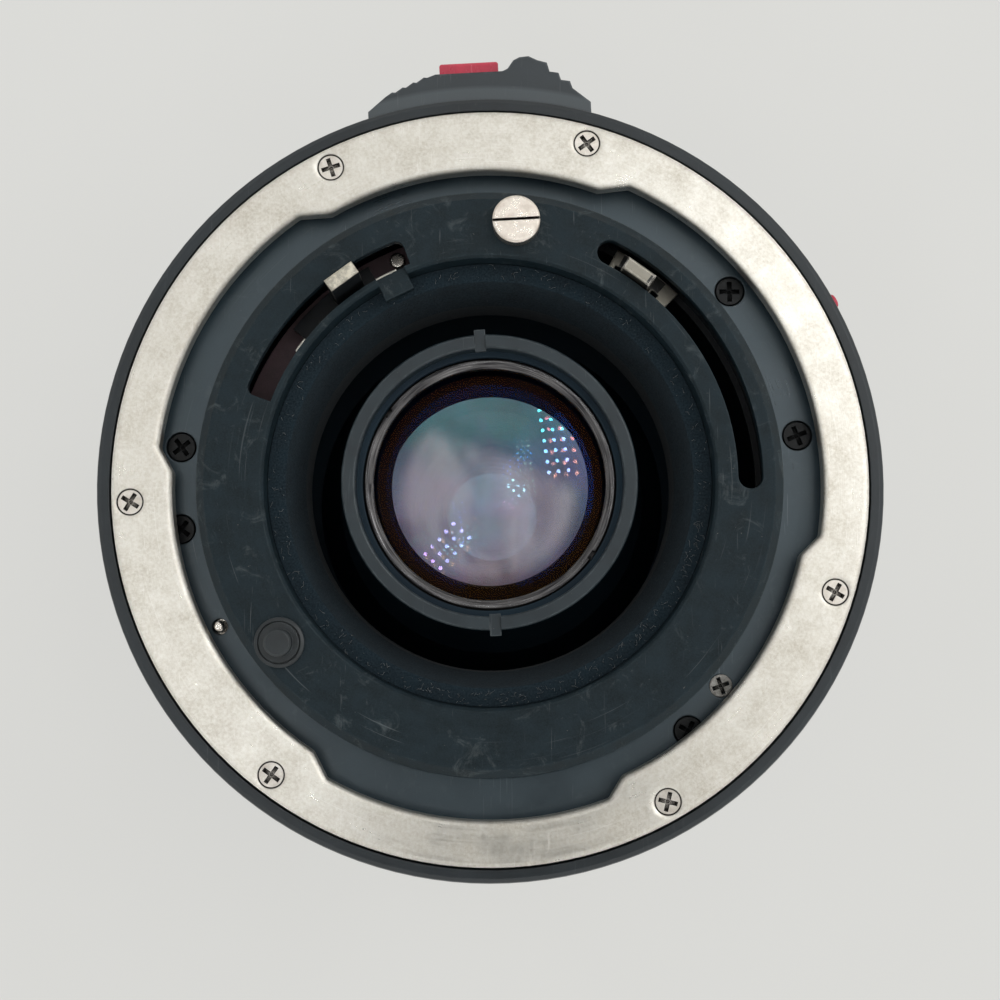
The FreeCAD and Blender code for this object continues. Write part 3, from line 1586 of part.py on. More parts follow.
def rear_spacer():
    outer_r = tail_bore_r - seat_gap
    low = pair_seat_z + seat_gap
    high = rear_glass_bottom_z - seat_gap
    points = [(outer_r, low), (outer_r, high), (rear_stop_r + 1.2, high), (rear_stop_r, high - 1.0)]
    z = high - 1.6
    while z > low + 2.4:
        points.append((rear_stop_r + 0.1, z))
        points.append((rear_stop_r + 0.9, z))
        points.append((rear_stop_r + 0.9, z - 1.0))
        points.append((rear_stop_r + 0.1, z - 1.0))
        z -= 2.0
    points.append((rear_stop_r + 0.6, low))
    return lathe(points)


def cemented_pair():
    high = pair_seat_z - seat_gap
    middle = high - pair_back_edge
    low = middle - pair_edge
    first = lens(pair_r, low, middle, 2.0, 1.4)
    second = lens(pair_r, middle, high, -1.4, -1.1)
    return group([first, second])


def fourth_element():
    high = fourth_seat_z - seat_gap
    return lens(fourth_r, high - fourth_edge, high, 2.4, -0.5)


# Iris

iris_plate_bottom_z = rear_front_z - iris_plate_thickness
iris_bottom_z = rear_front_z - iris_depth
iris_drive_bottom_z = iris_bottom_z + iris_drive_lift
iris_drive_top_z = iris_drive_bottom_z + iris_drive_thickness


def iris_pivot_angles():
    return [360.0 / iris_blade_count * i for i in range(iris_blade_count)]


def blade_top_z(index):
    return iris_plate_bottom_z - iris_blade_gap - iris_blade_pitch * index


def iris_housing():
    housing = lathe([
        (iris_bore_r, iris_plate_bottom_z),
        (iris_bore_r, rear_front_z),
        (iris_housing_outer_r, rear_front_z),
        (iris_housing_outer_r, iris_bottom_z),
        (iris_wall_r, iris_bottom_z),
        (iris_wall_r, iris_plate_bottom_z),
    ])
    pivots = [post(iris_pin_r + running_gap, iris_pivot_r, a, iris_plate_bottom_z - 1, rear_front_z + 1)
              for a in iris_pivot_angles()]
    start = stop_bar_angle - iris_window_margin
    end = stop_bar_angle + stop_lever_travel + iris_window_margin
    window = sector(iris_wall_r - 1, iris_housing_outer_r + 1, iris_bottom_z - 1, iris_drive_top_z + body_gap,
                    start, end)
    return housing.cut(joined(pivots + [window]))


def drive_pin_place(share):
    # The drive pin's place in the housing when the blade has turned by this share of its travel.
    pivot = polar(iris_pivot_r, 0)
    reach = polar(iris_pin_reach, iris_pin_bearing + iris_blade_turn * share)
    return pivot + reach


def drive_slot_points():
    points = []
    for share in (0.0, 0.5, 1.0):
        place = drive_pin_place(share)
        points.append(turned(Part.Vertex(place), -stop_lever_travel * share).Point)
    return points


def cam_slot(z0, z1):
    start, middle, end = drive_slot_points()
    circle = Part.Arc(start, middle, end).toShape().Curve
    centre = circle.Center
    radius = circle.Radius
    angles = [math.degrees(math.atan2(p.y - centre.y, p.x - centre.x)) for p in (start, end)]
    low, high = min(angles), max(angles)
    if high - low > 180.0:
        low, high = high, low + 360.0
    width = 2 * (iris_pin_r + iris_slot_gap)
    return moved(arc_slot(radius, width, z0, z1, low, high), centre.x, centre.y, 0)


def iris_drive_ring():
    z0, z1 = iris_drive_bottom_z, iris_drive_top_z
    ring = tube(iris_bore_r, iris_wall_r - running_gap, z0, z1)
    slot = cam_slot(z0 - 1, z1 + 1)
    ring = ring.cut(joined([turned(slot, a) for a in iris_pivot_angles()]))
    outer_r = stop_ring_outer_r + iris_fork_reach
    arm = radial_box(stop_bar_width + 2 * iris_arm_margin, iris_wall_r - iris_wall_step, outer_r,
                     stop_bar_angle, z0, z1)
    fork = radial_box(stop_bar_width + 2 * running_gap, stop_ring_outer_r - stop_bar_depth - body_gap,
                      outer_r + 1, stop_bar_angle, z0 - 1, z1 + 1)
    return ring.fuse(arm).cut(fork)


def blade_face():
    thick = iris_blade_thickness
    head = polar(iris_pivot_r, 0)
    head_far_r = iris_pivot_r + iris_head_r
    band = sector(iris_opening_r, iris_far_r, 0, thick, 0, iris_blade_span)
    root = sector(iris_opening_r, head_far_r, 0, thick, 0, iris_root_end)
    fade = sector(iris_opening_r, (iris_far_r + head_far_r) / 2, 0, thick, *iris_fade_span)
    cap = Part.makeCylinder(iris_head_r, thick, head)
    inner = sector(iris_opening_r, iris_pivot_r, 0, thick, *iris_tab_span)
    return joined([band, root, fade, cap, inner])


def iris_blade(index):
    top = blade_top_z(index)
    blade = moved(blade_face(), 0, 0, top - iris_blade_thickness)
    pivot_top = rear_front_z - ring_gap
    pivot = post(iris_pin_r, iris_pivot_r, 0, top - end_gap, pivot_top)
    place = drive_pin_place(0.0)
    drive_low = iris_drive_bottom_z + ring_gap
    drive = Part.makeCylinder(iris_pin_r, top - end_gap - drive_low, V(place.x, place.y, drive_low))
    return turned(joined([blade, pivot, drive]), iris_pivot_angles()[index])


def main():
    os.makedirs("parts", exist_ok=True)
    nodes = {
        "bayonet_ring": bayonet_ring(),
        "bayonet_screws": bayonet_screws(),
        "lock_collar": lock_collar(),
        "index_dot": index_dot(),
        "mount_core": mount_core(),
        "core_screws": core_screws(),
        "core_steel_screw": steel_screw(),
        "lock_pin": lock_pin(),
        "lock_pin_spring": lock_pin_spring(),
        "rear_barrel": rear_barrel(),
        "barrel_screws": barrel_screws(),
        "thrust_ring": thrust_ring(),
        "click_ball": click_ball(),
        "click_spring": click_spring(),
        "rear_plate": rear_plate(),
        "locating_stud": locating_stud(),
        "signal_pin": signal_pin(),
        "light_baffle": light_baffle(),
        "lever_carrier": lever_carrier(),
        "carrier_rivet": carrier_rivet(),
        "stop_down_ring": stop_down_ring(),
        "stop_down_lever": stop_down_lever(),
        "stop_down_spring": stop_down_spring(),
        "signal_sleeve": signal_sleeve(),
        "signal_lever": signal_lever(),
        "aperture_key_screw": aperture_key_screw(),
        "aperture_ring": aperture_ring(),
        "grip_block": grip_block(),
        "lock_button": lock_button(),
        "lock_button_spring": button_spring(),
        "main_sleeve": main_sleeve(),
        "cam_barrel": cam_barrel(),
        "front_cam_pins": cam_pins(front_pin_angles, front_pin_z, cell_outer_r + end_gap),
        "rear_cam_pins": cam_pins(rear_pin_angles, rear_pin_z, rear_pin_inner_r + end_gap),
        "front_barrel": front_barrel(),
        "zoom_ring": zoom_ring(),
        "zoom_grip": zoom_grip(),
        "zoom_key_screws": zoom_key_screws(),
        "focus_ring": focus_ring(),
        "focus_grip": focus_grip(),
        "focus_key_ring": focus_key_ring(),
        "front_carriage": front_carriage(),
        "front_cell": front_cell(),
        "front_element": front_element(),
        "second_element": second_element(),
        "front_retaining_ring": front_retaining_ring(),
        "rear_carriage": rear_carriage(),
        "tail_ring": tail_ring(),
        "rear_retaining_ring": rear_retaining_ring(),
        "rear_element": rear_element(),
        "rear_spacer": rear_spacer(),
        "cemented_pair": cemented_pair(),
        "fourth_element": fourth_element(),
        "iris_housing": iris_housing(),
        "iris_drive_ring": iris_drive_ring(),
    }
    for index in range(iris_blade_count):
        nodes["iris_blade_" + str(index + 1)] = iris_blade(index)
    for name, shape in nodes.items():
        export(name, shape)
        solids = shape.Solids
        volume = sum(solid.Volume for solid in solids)
        print(name, len(solids), round(volume, 2), shape.isValid())


main()
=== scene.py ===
import math
import random

import bmesh
import bpy
from mathutils import Matrix, Vector


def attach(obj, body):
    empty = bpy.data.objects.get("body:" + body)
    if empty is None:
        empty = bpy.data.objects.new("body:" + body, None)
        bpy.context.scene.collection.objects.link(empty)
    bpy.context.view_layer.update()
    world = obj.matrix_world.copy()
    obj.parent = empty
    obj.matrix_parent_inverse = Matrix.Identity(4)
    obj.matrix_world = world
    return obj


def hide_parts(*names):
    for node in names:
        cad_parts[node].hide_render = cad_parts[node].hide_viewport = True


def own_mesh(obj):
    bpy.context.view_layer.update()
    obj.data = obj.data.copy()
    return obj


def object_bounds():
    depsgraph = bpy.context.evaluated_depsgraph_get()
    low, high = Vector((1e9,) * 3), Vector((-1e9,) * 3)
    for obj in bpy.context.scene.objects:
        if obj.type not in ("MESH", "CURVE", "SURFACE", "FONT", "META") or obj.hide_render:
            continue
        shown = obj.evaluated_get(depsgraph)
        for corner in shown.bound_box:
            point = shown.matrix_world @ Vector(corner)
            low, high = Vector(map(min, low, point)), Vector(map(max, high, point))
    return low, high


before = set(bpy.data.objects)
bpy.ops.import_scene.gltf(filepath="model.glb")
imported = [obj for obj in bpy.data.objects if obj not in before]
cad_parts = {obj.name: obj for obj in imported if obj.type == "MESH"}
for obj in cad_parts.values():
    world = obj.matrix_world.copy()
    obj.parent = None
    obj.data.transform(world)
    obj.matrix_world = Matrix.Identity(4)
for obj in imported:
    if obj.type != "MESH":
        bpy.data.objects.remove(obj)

bl_info = {
    "name": "Zoom lens looks",
    "version": (1, 0, 0),
    "blender": (4, 5, 0),
    "location": "3D View > Sidebar > Zoom lens",
    "description": "Dresses the packed zoom lens with its finishes, prints, lint, stage, lights and camera",
    "category": "Object",
}

MM = 0.001
BOX_AFTER_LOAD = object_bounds()
FACE_LEVEL = 87.5 * MM  # the silver ring's face above the floor
SENSOR_WIDTH = 36.0  # of the camera, in its own millimetres
PICTURE_SHIFT = (0.0104, -0.0164)  # of the picture's centre off the camera's axis, in picture widths

# Where the six bright screws sit, in millimetres and degrees round the axis
SCREW_RING = 29.4
SCREW_HEAD = 1.05
SCREW_ANGLES = (116.6, 74.1, -17.5, -60.8, -126.8, -177.1)

# The flocked ring of the baffle: its inner and outer radius and its level, in millimetres
FLOCK_INNER = 16.7
FLOCK_OUTER = 18.0
FLOCK_LEVEL = 87.93

# Rows of prints: the radius and the level of each, in millimetres, and the side that the index faces
PRINT_SIDE = 270.0
APERTURE_ROW = (32.0, 79.2)
ZOOM_ROW = (30.6, 58.6)
FOCUS_ROW = (30.6, 32.95)
INDEX_ROW = (31.0, 66.2)
DEPTH_ROW = (31.0, 64.2)

# How far the numbers of each ring reach round it, in degrees
APERTURE_REACH = 46.0
ZOOM_REACH = 75.0
FOCUS_REACH = 140.0


# Small helpers

def linear(hex_colour):
    """The linear RGBA colour of an sRGB hex code."""
    parts = [int(hex_colour[i:i + 2], 16) / 255 for i in (1, 3, 5)]
    return tuple([c / 12.92 if c <= 0.04045 else ((c + 0.055) / 1.055) ** 2.4 for c in parts] + [1.0])


def add(tree, kind, inputs=None, out=0, **settings):
    """Adds one node with its settings, sets or links its inputs, and returns the output that is asked for."""
    node = tree.nodes.new("ShaderNode" + kind)
    for key, value in settings.items():
        setattr(node, key, value)
    for key, value in (inputs or {}).items():
        if isinstance(value, bpy.types.NodeSocket):
            tree.links.new(value, node.inputs[key])
        else:
            node.inputs[key].default_value = value
    return node.outputs[out] if node.outputs else node


def noise(tree, coord, size_mm, detail=2.0, roughness=0.5, distortion=0.0):
    """Noise in patches of about one size."""
    return add(tree, "TexNoise", {"Vector": coord, "Scale": 1 / (size_mm * MM), "Detail": detail,
                                  "Roughness": roughness, "Distortion": distortion})


def times(tree, a, b):
    """The product of two values."""
    return add(tree, "Math", {0: a, 1: b}, operation="MULTIPLY")


def mixed(tree, share, low, high):
    """Two colours mixed by a share."""
    return add(tree, "Mix", {0: share, 6: low, 7: high}, 2, data_type="RGBA")


def hung(name, data):
    """A new object in the scene for a mesh, curve, lamp or camera."""
    thing = bpy.data.objects.new(name, data)
    bpy.context.scene.collection.objects.link(thing)
    return thing


def new_material(name):
    """An empty node material and its tree."""
    material = bpy.data.materials.new(name)
    material.use_nodes = True
    material.node_tree.nodes.clear()
    return material, material.node_tree


def scratch_layer(tree, coord, turn, size_mm, length_mm, amount):
    """Fine straight scratches in one direction, in scattered patches, white where a scratch is."""
    share = size_mm / length_mm
    mapped = add(tree, "Mapping", {"Vector": coord, "Rotation": (0.0, 0.0, math.radians(turn)),
                                   "Scale": (1.0, share, 1.0)})
    lines = noise(tree, mapped, size_mm)
    thin = add(tree, "MapRange", {0: lines, 1: 0.655, 2: 0.70})
    patches = add(tree, "TexNoise", {"Vector": mapped, "Scale": 0.11 / (size_mm * MM), "Detail": 1.0})
    where = add(tree, "MapRange", {0: patches, 1: 0.6 - amount, 2: 0.72 - amount})
    return times(tree, thin, where)


def around_axis(tree, coord, turn_mm):
    """Coordinates whose x is the radius and whose y runs round the axis, for turned surfaces."""
    x = add(tree, "SeparateXYZ", {0: coord})
    y = x.node.outputs[1]
    radius = add(tree, "VectorMath", {0: flattened(tree, coord)}, "Value", operation="LENGTH")
    angle = add(tree, "Math", {0: y, 1: x}, operation="ARCTAN2")
    turn = times(tree, angle, turn_mm * MM)
    return add(tree, "CombineXYZ", {0: radius, 1: turn, 2: x.node.outputs[2]})


def flattened(tree, coord):
    """The coordinates without their height."""
    return add(tree, "VectorMath", {0: coord, 1: (1.0, 1.0, 0.0)}, operation="MULTIPLY")


def worn_and_highlit_edges(tree, coord, rounded, amount):
    """White in patches along the solid's edges, from a rounded normal against the true one."""
    true = add(tree, "NewGeometry", out="Normal")
    dot = add(tree, "VectorMath", {0: rounded, 1: true}, "Value", operation="DOT_PRODUCT")
    edge = add(tree, "MapRange", {0: dot, 1: 0.994, 2: 0.91})
    patches = noise(tree, coord, 1.3, 4.0, 0.7)
    where = add(tree, "MapRange", {0: patches, 1: 0.4, 2: 0.62, 4: amount})
    return add(tree, "Math", {0: edge, 1: where}, operation="MULTIPLY", use_clamp=True)


def joint_shade_and_grease_rings(tree, coord, reach_mm, angles, low_mm, high_mm):
    """White in the fine joint round each screw head, at the heads' places, for painted shade and old grease
    there.
    """
    flat = flattened(tree, coord)
    near = None
    for angle in angles:
        away = add(tree, "VectorMath", {0: flat, 1: polar(reach_mm, angle, 0)}, "Value", operation="DISTANCE")
        near = away if near is None else add(tree, "Math", {0: near, 1: away}, operation="MINIMUM")
    inner = add(tree, "MapRange", {0: near, 1: (low_mm - 0.04) * MM, 2: low_mm * MM})
    outer = add(tree, "MapRange", {0: near, 1: high_mm * MM, 2: (high_mm + 0.05) * MM, 3: 1.0, 4: 0.0})
    return times(tree, inner, outer)


def finish(name, look):
    """One layered surface: base with stains and grain, lathe lines that also paint a highlight on their
    ridges, scratches, bare metal and worn edges, in places also painted highlights, painted shade with grease
    in the screw joints, painted shade with dirt in the crevices, smudges, dust, and the bump of them all. A
    base can be a linear colour too."""
    material, tree = new_material(name)
    coord = add(tree, "TexCoord", out="Object")
    stain = noise(tree, coord, look.get("stain_mm", 6.0), 5.0, 0.62)
    grain = noise(tree, coord, look.get("grain_mm", 0.15), 3.0, 0.6)
    grain_colour = look.get("grain", look["stain"])
    # Each coat is a mask and the hex colour that it lays over the coats before it.
    coats = [(add(tree, "MapRange", {0: stain, 1: 0.36, 2: 0.66}), look["stain"]),
             (add(tree, "MapRange", {0: grain, 1: 0.35, 2: 0.75, 4: look.get("grain_share", 0.25)}),
              grain_colour)]
    low, high = look["rough"]
    rough = add(tree, "MapRange", {0: stain, 1: 0.3, 2: 0.7, 3: low, 4: high})
    height = times(tree, grain, look.get("grain_height", 0.25))
    metallic = look.get("metallic", 0.0)
    layers = [scratch_layer(tree, coord, turn, size, length, look.get("scratch_amount", 0.05))
              for turn, size, length in look.get("scratches", ())]
    if look.get("lathe"):
        turned = around_axis(tree, coord, 0.4)
        lines = noise(tree, turned, look["lathe"])
        ridge = times(tree, lines, look.get("lathe_height", 0.5))
        # The lathe lines also lighten the colour on their ridges: a painted highlight.
        ridge_highlight = add(tree, "MapRange", {0: lines, 1: 0.35, 2: 0.7, 4: look.get("lathe_highlight", 0.12)})
        coats.append((ridge_highlight, grain_colour))
        height = add(tree, "Math", {0: height, 1: ridge}, operation="ADD")
        step = add(tree, "MapRange", {0: lines, 1: 0.3, 2: 0.7, 3: -0.03, 4: 0.05})
        rough = add(tree, "Math", {0: rough, 1: step}, operation="ADD")
    if look.get("arcs"):
        layers.append(scratch_layer(tree, around_axis(tree, coord, 20.0), 0.0, look["arcs"], 9.0, 0.08))
    if layers:
        scratch = layers[0]
        for layer in layers[1:]:
            scratch = add(tree, "Math", {0: scratch, 1: layer}, operation="MAXIMUM")
        share = times(tree, scratch, look.get("scratch_share", 0.3))
        coats.append((share, look.get("scratch", "#D8D4CC")))
        dent = times(tree, scratch, look.get("scratch_depth", 0.3))
        height = add(tree, "Math", {0: height, 1: dent}, operation="SUBTRACT")
    if look.get("rubbed_and_highlit"):
        # A part of the piece in a metal colour: rubbed down to bare metal by its neighbour or a camera, and
        # on the grip block a painted highlight.
        metallic, metal = look["rubbed_and_highlit"](tree, coord)
        coats.append((metallic, metal))
    rounded = add(tree, "Bevel", {"Radius": look.get("wear_and_highlight_mm", 0.16) * MM}, samples=4)
    # Lighter colour along the edges: wear, and on the silver ring a painted highlight on its rolled edges.
    if look.get("wear_and_highlight"):
        coats.append((worn_and_highlit_edges(tree, coord, rounded, look["wear_and_highlight"]), look.get("wear_and_highlight_colour", "#8E8A84")))
    # Painted shade and old grease in the fine joint round each screw head.
    if look.get("grime_and_shade"):
        coats.append((joint_shade_and_grease_rings(tree, coord, *look["grime_and_shade"]), "#2A2622"))
    # Painted crevice shade together with dirt: darker and rougher where ambient occlusion finds a hollow.
    if look.get("crevice_shade_and_soil"):
        near = add(tree, "AmbientOcclusion", {"Distance": look.get("crevice_shade_and_soil_mm", 0.4) * MM}, "AO", samples=4)
        share = add(tree, "MapRange", {0: near, 1: 0.86, 2: 0.42, 4: look["crevice_shade_and_soil"]})
        coats.append((share, look.get("crevice_shade_and_soil_colour", "#15120F")))
        rough = add(tree, "Math", {0: rough, 1: share}, operation="MAXIMUM")
    if look.get("smudge"):
        film = noise(tree, coord, 2.6, 8.0, 0.75, 1.2)
        coats.append((add(tree, "MapRange", {0: film, 1: 0.56, 2: 0.82, 4: look["smudge"]}), "#7E8688"))
    if look.get("dust"):
        specks = noise(tree, coord, 0.24, 2.0, 0.5, 1.0)
        coats.append((add(tree, "MapRange", {0: specks, 1: 0.76, 2: 0.81, 4: look["dust"]}), "#8E8B86"))
    colour = look["base"] if isinstance(look["base"], tuple) else linear(look["base"])
    for share, top in coats:
        colour = mixed(tree, share, colour, linear(top))
    bump = add(tree, "Bump", {"Height": height, "Strength": look.get("bump", 0.25), "Distance": 0.02 * MM,
                              "Normal": rounded})
    inputs = {"Base Color": colour, "Roughness": rough, "Metallic": metallic, "Normal": bump}
    if look.get("turned_shine"):
        # The lathe lines are too fine to show one by one, so together they stretch the shine outwards.
        around = add(tree, "Tangent", direction_type="RADIAL", axis="Z")
        inputs.update({"Anisotropic": look["turned_shine"], "Anisotropic Rotation": 0.25, "Tangent": around})
    if "shine" in look:
        inputs["Specular IOR Level"] = look["shine"]
    inputs.update(look.get("sockets", {}))
    add(tree, "OutputMaterial", {0: add(tree, "BsdfPrincipled", inputs)})
    return material


def grey_veil_mask(tree, coord, amount):
    """Where a grey film lies on the glass, as old mist and as a painted reflection of the room: inside one
    disc, below a slanting line, in upright soft patches.
    """
    flat = flattened(tree, coord)
    reach = add(tree, "VectorMath", {0: flat, 1: (0.0, -0.6 * MM, 0.0)}, "Value", operation="DISTANCE")
    disc = add(tree, "MapRange", {0: reach, 1: 7.9 * MM, 2: 6.3 * MM}, interpolation_type="SMOOTHSTEP")
    slant = add(tree, "VectorMath", {0: coord, 1: (0.39, 1.0, 0.0)}, "Value", operation="DOT_PRODUCT")
    low = add(tree, "MapRange", {0: slant, 1: 3.6 * MM, 2: 1.4 * MM}, interpolation_type="SMOOTHSTEP")
    mapped = add(tree, "Mapping", {"Vector": coord, "Rotation": (0.0, 0.0, 0.1), "Scale": (1.0, 0.35, 1.0)})
    clouds = noise(tree, mapped, 2.6, distortion=0.5)
    patch = add(tree, "MapRange", {0: clouds, 1: 0.36, 2: 0.62, 3: 0.4 * amount, 4: amount})
    share = times(tree, disc, low)
    return times(tree, share, patch)


def coated_glass(name, tint, film_nm, film_ior, patch_mm, haze=0.0, ior=1.62, veil_amount=0.0):
    """Optical glass under a vacuum coating whose film, thicker to one side, colours its reflections."""
    material, tree = new_material(name)
    coord = add(tree, "TexCoord", out="Object")
    patches = noise(tree, coord, patch_mm, 2.0, 0.45, 0.6)
    across = add(tree, "MapRange", {0: add(tree, "SeparateXYZ", {0: coord}, 1), 1: -8 * MM, 2: 8 * MM})
    uneven = add(tree, "Math", {0: patches, 1: across}, operation="ADD")
    film = add(tree, "MapRange", {0: uneven, 1: 0.6, 2: 1.4, 3: film_nm[0], 4: film_nm[1]})
    wiped = add(tree, "MapRange", {0: patches, 1: 0.3, 2: 0.7, 3: 0.0, 4: haze}) if haze else 0.0
    colour = mixed(tree, patches, linear("#F6FAFA"), linear(tint))
    shader = add(tree, "BsdfPrincipled", {"Base Color": colour, "Roughness": wiped, "IOR": ior,
                                          "Transmission Weight": 1.0, "Thin Film Thickness": film,
                                          "Thin Film IOR": film_ior})
    if veil_amount:
        # A grey film that scatters a little light of its own: old mist, and a painted reflection of the room
        # in the inner glass.
        lit_grey_film = add(tree, "BsdfDiffuse", {"Color": linear("#D6CED6")})
        shader = add(tree, "MixShader", {0: grey_veil_mask(tree, coord, veil_amount), 1: shader, 2: lit_grey_film})
    # The ground edge of each element is painted black, so that it sends no stray light into the picture.
    normal = add(tree, "NewGeometry", out="True Normal")
    facing = add(tree, "Math", {0: add(tree, "SeparateXYZ", {0: normal}, 2)}, operation="ABSOLUTE")
    edge = add(tree, "Math", {0: facing, 1: 0.3}, operation="LESS_THAN")
    paint = add(tree, "BsdfDiffuse", {"Color": linear("#07080B")})
    add(tree, "OutputMaterial", {0: add(tree, "MixShader", {0: edge, 1: shader, 2: paint})})
    return material


def put(nodes, material):
    """Gives the CAD nodes one material."""
    for name in nodes:
        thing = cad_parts[name]
        thing.data.materials.clear()
        thing.data.materials.append(material)


def polar(radius_mm, degrees, z_mm):
    """A place in metres from a radius, an angle round the axis and a level."""
    a = math.radians(degrees)
    return Vector((radius_mm * math.cos(a), radius_mm * math.sin(a), z_mm)) * MM


def rubbed_above(z_mm, metal):
    """Bare metal on what stands higher than one level."""
    def mask(tree, coord):
        z = add(tree, "SeparateXYZ", {0: coord}, 2)
        high = add(tree, "MapRange", {0: z, 1: (z_mm - 0.06) * MM, 2: (z_mm + 0.06) * MM})
        grime_and_shade = noise(tree, coord, 0.7, 4.0, 0.7)
        clean = add(tree, "MapRange", {0: grime_and_shade, 1: 0.42, 2: 0.6, 3: 0.55})
        return times(tree, high, clean), metal
    return mask


def highlight_band(low_mm, high_mm, share, metal):
    """A band of metal colour, partly metallic, between two distances from the axis: a painted highlight."""
    def mask(tree, coord):
        reach = add(tree, "VectorMath", {0: flattened(tree, coord)}, "Value", operation="LENGTH")
        inner = add(tree, "MapRange", {0: reach, 1: (low_mm - 0.1) * MM, 2: (low_mm + 0.1) * MM, 4: share})
        outer = add(tree, "MapRange", {0: reach, 1: (high_mm - 0.3) * MM, 2: (high_mm + 0.1) * MM,
                                       3: 1.0, 4: 0.0})
        return times(tree, inner, outer), metal
    return mask


def rubbed_sectors(sectors, metal):
    """Bare metal on some stretches of a ring, each given by its middle and half its width in degrees."""
    def mask(tree, coord):
        unit = add(tree, "VectorMath", {0: flattened(tree, coord)}, operation="NORMALIZE")
        bare = None
        for middle, half_width in sectors:
            dot = add(tree, "VectorMath", {0: unit, 1: polar(1 / MM, middle, 0)}, "Value",
                      operation="DOT_PRODUCT")
            limit = math.cos(math.radians(half_width))
            inside = add(tree, "Math", {0: dot, 1: limit}, operation="GREATER_THAN")
            bare = inside if bare is None else add(tree, "Math", {0: bare, 1: inside}, operation="MAXIMUM")
        return bare, metal
    return mask


# Finishes that more than one piece shares. Each starts from the real material and how its surface was made.

def bright_steel(name, extra=None):
    # Nickel plated steel: bright and slightly warm, pitted, darker in the low places from painted shade and
    # old grease.
    look = {
        "base": "#E8E2DA", "stain": "#C9C1B6", "stain_mm": 0.9, "grain": "#F6F3EC", "grain_mm": 0.1,
        "rough": (0.28, 0.42), "metallic": 1.0, "scratches": ((15, 0.06, 2.0), (-60, 0.08, 2.0)),
        "scratch": "#FFFFFF", "wear_and_highlight": 0.5, "wear_and_highlight_mm": 0.08, "wear_and_highlight_colour": "#F6F3EE", "crevice_shade_and_soil": 1.0,
        "crevice_shade_and_soil_mm": 0.7, "crevice_shade_and_soil_colour": "#14100D", "bump": 0.2}
    look.update(extra or {})
    return finish(name, look)


def black_anodised(name, base, stain, rough, extra=None):
    # Black anodised aluminium: a dark dyed oxide skin, satin, a little lighter where hands rub it.
    look = {
        "base": base, "stain": stain, "stain_mm": 7.0, "grain": "#222B30", "grain_mm": 0.12,
        "grain_share": 0.3, "rough": rough, "lathe": 0.09, "lathe_height": 0.35,
        "scratches": ((52, 0.1, 3.5), (-12, 0.12, 4.0)), "scratch": "#6E7478", "scratch_share": 0.25,
        "wear_and_highlight": 0.5, "wear_and_highlight_colour": "#4E5357", "dust": 0.4, "bump": 0.22, "shine": 0.42}
    look.update(extra or {})
    return finish(name, look)


# Settings

class LensFinish(bpy.types.PropertyGroup):
    """Sizes, counts and strengths of the finishes"""
    film: bpy.props.FloatProperty(name="Coating film",
                                  description="Film thickness on the inner glass in nanometres",
                                  default=228.0, min=20.0, max=900.0)
    lint_count: bpy.props.IntProperty(name="Lint fibres", description="Fibres caught in the flocking",
                                      default=420, min=0, max=2000)
    lint_length: bpy.props.FloatProperty(name="Lint length", description="Longest fibre of lint",
                                         default=0.6 * MM, min=0.0001, max=0.005, unit="LENGTH")
    print_height: bpy.props.FloatProperty(name="Print thickness",
                                          description="How far the paint of a mark stands up",
                                          default=0.02 * MM, min=0.000005, max=0.0001, unit="LENGTH")
    red: bpy.props.FloatVectorProperty(name="Red", description="Colour of the button and the index dot",
                                       subtype="COLOR", size=3, default=linear("#C4314A")[:3],
                                       min=0.0, max=1.0)


class LensStage(bpy.types.PropertyGroup):
    """Where the camera stands and how the light falls"""
    distance: bpy.props.FloatProperty(name="Camera distance",
                                      description="From the silver ring's face to the camera",
                                      default=142.85 * MM, min=0.05, max=2.0, unit="LENGTH")
    tilt: bpy.props.FloatProperty(name="Camera tilt", description="Lean of the camera towards the lower edge",
                                  default=0.0798, min=-1.0, max=1.0, unit="ROTATION")
    side: bpy.props.FloatProperty(name="Camera side lean", description="Lean of the camera towards the right",
                                  default=0.0070, min=-1.0, max=1.0, unit="ROTATION")
    focal_share: bpy.props.FloatProperty(name="Focal share",
                                         description="Focal length over the sensor's width",
                                         default=1.7515, min=0.2, max=10.0)
    floor_size: bpy.props.FloatProperty(name="Floor size", description="Side of the floor sheet", default=3.0,
                                        min=0.5, max=20.0, unit="LENGTH")
    room_light: bpy.props.FloatProperty(name="Room light",
                                        description="Strength of the even light from all sides",
                                        default=0.88, min=0.0, max=3.0)
    lamp_power: bpy.props.FloatProperty(name="Lamp power", description="Power of the large soft lamp",
                                        default=2.2, min=0.0, max=50.0, subtype="POWER")


# Operators, one for each piece or group of like pieces

